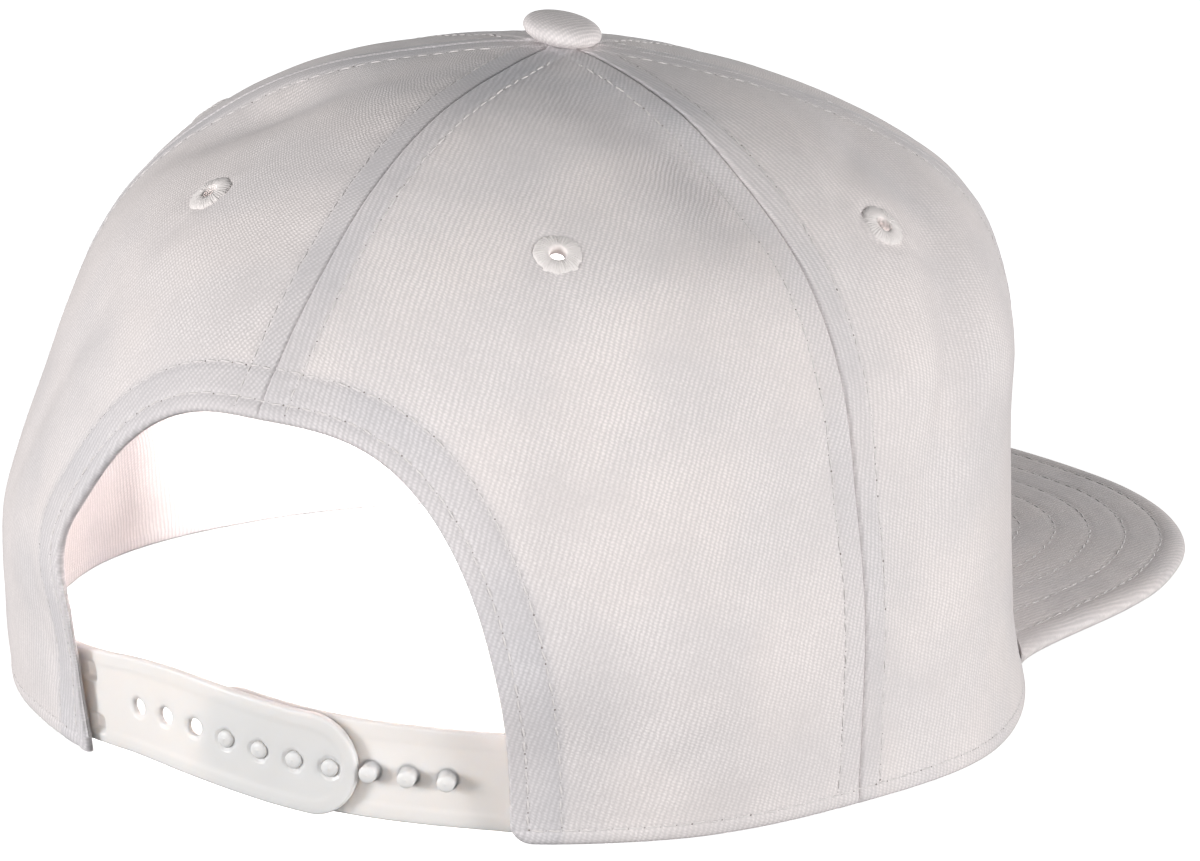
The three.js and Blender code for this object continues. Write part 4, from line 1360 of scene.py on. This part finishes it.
MIDDLE_FIRST, MIDDLE_STEP = -52.0, 8.0  # heights of the middle line, every 8 mm along it
MIDDLE = np.array([9.6, 10.0, 10.8, 11.7, 12.0, 11.7, 11.1, 10.5, 10.1, 9.95, 9.9, 9.85, 9.7, 9.4])


def middle_at(run):
    at = np.clip((np.asarray(run) - MIDDLE_FIRST) / MIDDLE_STEP, 0, len(MIDDLE) - 1)
    return along(MIDDLE, at, MIDDLE[0], MIDDLE[-1])


def strap_place(run, inset):
    """Point of the strap's outer face on its middle line, and its outward direction."""
    around = np.degrees(run / RIM_BACK_REACH)
    ahead = unit(rim_point(around + 0.5) - rim_point(around - 0.5))
    out = np.stack([ahead[..., 1], -ahead[..., 0], 0 * run], -1)
    at = rim_point(around)
    out = out * np.sign((out * at).sum(-1))[..., None]
    at = at - out * inset(run)[..., None]
    at[..., 2] = middle_at(run)
    return at, out


print("tips at", round(LEFT_TIP, 1), round(RIGHT_TIP, 1), "mm, first stud at", round(FIRST_PEG, 1))

# %% [markdown]
# A strip is moulded in one go, and so is its grid: rows along it, narrowing to the round end,
# and finer columns toward its borders. What a mould would cut, such as the dish around a hole or
# a shallow slot near the panel, is taken off the outer face by distance.

# %% A moulded strip with its border, holes and slots
SOFT_EDGE = 0.5  # radius of the moulded edges
END_LEAN = 0.16  # millimetres outward for each millimetre upward


def strip(start, tip, height, inset, holes, slots, lip_width, step=0.37):
    """The outer and inner faces of a strap half, from its hidden start to its round tip."""
    way = 1 if tip > start else -1
    radius = height / 2
    straight = np.arange(0, abs(tip - start) - radius, step)
    bend = np.linspace(0, math.pi / 2 * 0.985, 40)
    run = np.concatenate([straight, abs(tip - start) - radius + radius * np.sin(bend)])
    half = np.concatenate([np.full(len(straight), radius), radius * np.cos(bend)])
    across = 2 * graded(height, step, 0.12, 0.14) - 1
    x = np.broadcast_to((start + way * run)[:, None], (len(run), len(across)))
    h = half[:, None] * across[None, :]
    past = np.maximum(way * (x - (tip - way * radius)), 0)
    edge = radius - np.where(past > 0, np.hypot(past, h), np.abs(h))
    t = np.clip(1 - edge / SOFT_EDGE, 0, 1)
    round_off = SOFT_EDGE * (1 - np.sqrt(np.maximum(1 - t * t, 0)))
    drop = LIP_RELIEF * ease((edge - lip_width) / 1.1) + round_off
    back = round_off.copy()
    for hole in holes:
        rho = np.hypot(x - hole, h) - HOLE_RADIUS
        drop += 0.32 * np.clip(1 - rho / 0.6, 0, 1) ** 1.4 + 0.05 * bell((rho - 0.9) / 0.4)
        back += 0.3 * np.clip(1 - rho / 0.5, 0, 1) ** 2
    for at_run, at_height, long, tall in slots:
        a = ease((long / 2 - np.abs(x - at_run)) / 0.4 + 0.5)
        b = ease((tall / 2 - np.abs(h - at_height)) / 0.4 + 0.5)
        drop += 1.1 * a * b
    face, out = strap_place(x, inset)
    outer = face - out * drop[..., None]
    inner = face - out * (STRAP_THICKNESS - back)[..., None]
    lean = END_LEAN * ease((-x - 14) / 26) * h  # the left end leans out with its panel
    for sheet in (outer, inner):
        sheet[..., 2] += h
        sheet += out * lean[..., None]
    return outer, inner


print("softened edge", SOFT_EDGE, "mm")

# %% [markdown]
# The holes go through both faces, so a block of cells is left out at each and its border pushed
# open to a circle. The studs are turned bodies with a domed end, set into the strip they stand on
# and only just narrower than the holes that they fill, so that a fastened snap shows no gap.

# %% A strap half with its holes and studs
def strap_piece(name, node, start, tip, height, inset, holes=(), slots=(), pegs=(),
                lip_width=1.8):
    outer, inner = strip(start, tip, height, inset, holes, slots, lip_width)
    rows, cols = outer.shape[:2]
    n = rows * cols
    o = np.arange(n).reshape(rows, cols)
    keep = np.ones((rows - 1, cols - 1), bool)
    walls = []
    block = 3
    for hole in holes:
        centre, axis = strap_place(np.array(hole), inset)
        gap = np.linalg.norm(outer - centre, axis=-1)
        i0, j0 = np.unravel_index(gap.argmin(), gap.shape)
        outer = opened_around(outer, (i0, j0), centre, axis, HOLE_RADIUS, block, 5, 0.36)
        inner = opened_around(inner, (i0, j0), centre - axis * STRAP_THICKNESS, axis,
                              HOLE_RADIUS, block, 5, 0.36)
        keep[i0 - block:i0 + block, j0 - block:j0 + block] = False
        hole_grid = o[i0 - block:i0 + block + 1, j0 - block:j0 + block + 1]
        walls.append(wall(border_of(hole_grid), n)[:, ::-1])
    walls.append(wall(border_of(o), n))
    keep = keep.ravel()
    faces = [quads(rows, cols)[keep], quads(rows, cols, n, flip=True)[keep]] + walls
    points = np.concatenate([outer.reshape(-1, 3), inner.reshape(-1, 3)])
    faces = facing_out(points, np.concatenate(faces))
    for peg in pegs:
        pts, quad = snap_peg(peg, inset)
        faces = np.concatenate([faces, facing_out(pts, quad) + len(points)])
        points = np.concatenate([points, pts])
    return new_piece(name, points, faces, SNAP_PLASTIC, stands_for=(node,))


def snap_peg(run, inset):
    """A round stud with a softened end, standing on the strap's face."""
    centre, out = strap_place(np.array(run), inset)
    radius, proud = HOLE_RADIUS - 0.04, BEHIND_STRAP + PEG_REACH
    level = np.array([-out[1], out[0], 0])
    profile = np.array([
        (0.05, -0.9), (radius, -0.9), (radius + 0.5, -0.25), (radius + 0.2, -0.1),
        (radius, 0.15), (radius, proud - 0.6), (radius * 0.97, proud - 0.4),
        (radius * 0.88, proud - 0.24), (radius * 0.7, proud - 0.1), (radius * 0.4, proud - 0.02),
        (0.05, proud)])
    count = 32
    phi = full_turn(count)
    p = (centre + profile[:, :1, None] * (np.cos(phi)[None, :, None] * level
                                          + np.sin(phi)[None, :, None] * np.array([0, 0, 1.0]))
         + profile[:, 1][:, None, None] * out)
    caps = np.array([[k, k + 1, count - 2 - k, count - 1 - k] for k in range(count // 2 - 1)])
    last = (len(profile) - 1) * count
    return p.reshape(-1, 3), np.concatenate(
        [quads(len(profile), count, wrap=True), caps, caps[:, ::-1] + last])


print("a stud stands", round(BEHIND_STRAP + PEG_REACH, 2), "mm off its strap")

# %% [markdown]
# The half with holes comes from the wearer's left and lies outside. Four studs of the other half
# look through it, three stand free beside its round end, and three holes stay open.

# %% The two halves
left_start = -run_of(ARCH_HALF["left"] + STRAP_TUCK)
right_start = run_of(ARCH_HALF["right"] + STRAP_TUCK)
slots = [(-40.2, 4.6, 4.2, 3.1), (-39.4, -5.2, 4.2, 3.1)]
with_holes = strap_piece(
    "snap_strap_with_holes", "strap_with_holes", left_start, LEFT_TIP, LEFT_WIDTH,
    left_inset, holes=[LAST_HOLE - HOLE_PITCH * k for k in range(HOLE_COUNT)], slots=slots,
    lip_width=LEFT_LIP)
with_pegs = strap_piece(
    "snap_strap_with_pegs", "strap_with_pegs", right_start, RIGHT_TIP, RIGHT_WIDTH,
    right_inset, pegs=[FIRST_PEG + HOLE_PITCH * k for k in range(HOLE_COUNT)],
    lip_width=RIGHT_LIP)
print("straps", faces_of(with_holes), faces_of(with_pegs), "triangles")

# %% [markdown]
# ## Floor, light and camera
# The photograph is lit like a shop picture on white: soft lamps to both sides of the camera and
# hardly higher than the cap, and nearly nothing from above, so the crown's top and the peak fall
# to grey. The floor glows, as a light table does, and its rim curves up into a wall, so that it is
# white from every side. A glowing floor would light the cap from below, which the photograph does
# not show, so it is hidden from the rays that light and mirror, and the sky fills in for it.

# %% Floor
def pale_floor():
    material, tree, shader = finish_named("pale_floor", 0.95, Specular_IOR_Level=0.0)
    shader.inputs["Base Color"].default_value = (0.9, 0.9, 0.9, 1)
    shader.inputs["Emission Color"].default_value = (1, 1, 1, 1)
    shader.inputs["Emission Strength"].default_value = FLOOR_GLOW
    mesh = bpy.data.meshes.new("floor")
    count = 64
    turn = full_turn(count)
    profile = [(2.0, 0), (5.0, 0), (5.4, 0.08), (5.8, 0.35), (6.05, 0.8), (6.15, 1.4), (6.2, 6.0)]
    rings = [np.column_stack([r * np.cos(turn), r * np.sin(turn), np.full(count, z)])
             for r, z in profile]
    faces = quads(len(profile), count, wrap=True).tolist() + [list(range(count))]
    mesh.from_pydata(np.concatenate(rings).tolist(), [], faces)
    mesh.materials.append(material)
    floor = bpy.data.objects.new("floor", mesh)
    bpy.context.scene.collection.objects.link(floor)
    floor.location.z = -0.0001
    floor.visible_diffuse = floor.visible_glossy = False
    return floor


FLOOR_GLOW, SKY_GLOW = 0.75, 0.12
print("floor", pale_floor().dimensions.to_tuple(1), "m")

world = bpy.data.worlds.new("studio")
bpy.context.scene.world = world
world.use_nodes = True
sky = world.node_tree.nodes["Background"]
sky.inputs["Color"].default_value = (0.96, 0.985, 1.0, 1)
sky.inputs["Strength"].default_value = SKY_GLOW

# %% [markdown]
# The camera stands behind the wearer's right shoulder, a little above the rim. Its numbers were
# solved from the photograph's landmarks: the seams, the opening, the eyelets and the outline.

# %% Camera
TURN, ELEVATION, ROLL = 27.888, 16.843, 2.277  # degrees
DISTANCE, FOCAL = 896.865, 4932.38  # millimetres and pixels of a frame 1200 wide
AIM_ACROSS, AIM_HEIGHT = 11.656, 43.179


def directions(turn, elevation, roll=0.0):
    a, e, r = math.radians(180 + turn), math.radians(elevation), math.radians(roll)
    back = np.array([math.sin(a) * math.cos(e), -math.cos(a) * math.cos(e), math.sin(e)])
    right = np.array([math.cos(a), math.sin(a), 0])
    up = np.cross(back, right)
    return (right * math.cos(r) + up * math.sin(r), -right * math.sin(r) + up * math.cos(r), back,
            right)


frame_right, frame_up, back, level_right = directions(TURN, ELEVATION, ROLL)
eye = (np.array([0, 0, AIM_HEIGHT]) + level_right * AIM_ACROSS + back * DISTANCE + AXIS) / 1000
lens = bpy.data.cameras.new("camera")
lens.sensor_width = 36.0
lens.sensor_fit = "HORIZONTAL"
lens.lens = FOCAL / 1200 * 36.0
lens.clip_start, lens.clip_end = 0.02, 60.0
camera = bpy.data.objects.new("camera", lens)
bpy.context.scene.collection.objects.link(camera)
camera.matrix_world = Matrix([
    (frame_right[0], frame_up[0], back[0], eye[0]),
    (frame_right[1], frame_up[1], back[1], eye[1]),
    (frame_right[2], frame_up[2], back[2], eye[2]),
    (0, 0, 0, 1)])
bpy.context.scene.camera = camera
print("lens", round(lens.lens, 1), "mm")

# %% [markdown]
# Lights are square lamps that look at the cap. The key stands to the camera's left and the fill to
# its right, just as strong, so the form reads from its seams and hollows more than from one
# shadow. A weaker lamp stands near the camera, two behind the cap lift its front, and a small one
# inside the crown brightens what the opening shows.

# %% Lights
def soft_light(name, turn, elevation, distance, size, power, target=(0, 0, 0.055)):
    """A square lamp that looks at its target; turn is counted from the camera's side."""
    _, _, way, _ = directions(TURN + turn, elevation)
    lamp = bpy.data.lights.new(name, "AREA")
    lamp.shape, lamp.size, lamp.energy = "SQUARE", size, power
    holder = bpy.data.objects.new(name, lamp)
    bpy.context.scene.collection.objects.link(holder)
    target = Vector(target)
    holder.location = target + Vector(way) * distance
    holder.rotation_euler = (holder.location - target).to_track_quat("Z", "Y").to_euler()


soft_light("key", -60, 8, 1.5, 0.5, 18.0)
soft_light("near", -16, 8, 1.5, 0.5, 5.5)
soft_light("fill", 60, 8, 1.5, 0.5, 18.5)
soft_light("front", 160, 45, 1.2, 0.6, 1.8, (0, -0.1, 0))
soft_light("far", 172, 7, 1.5, 0.5, 5.0)
soft_light("inside", -TURN, -8, 0.085, 0.075, 0.5, (0.0, -0.05, 0.055))
bpy.context.scene.view_settings.view_transform = "Standard"
bpy.context.scene.view_settings.look = "None"

# %% [markdown]
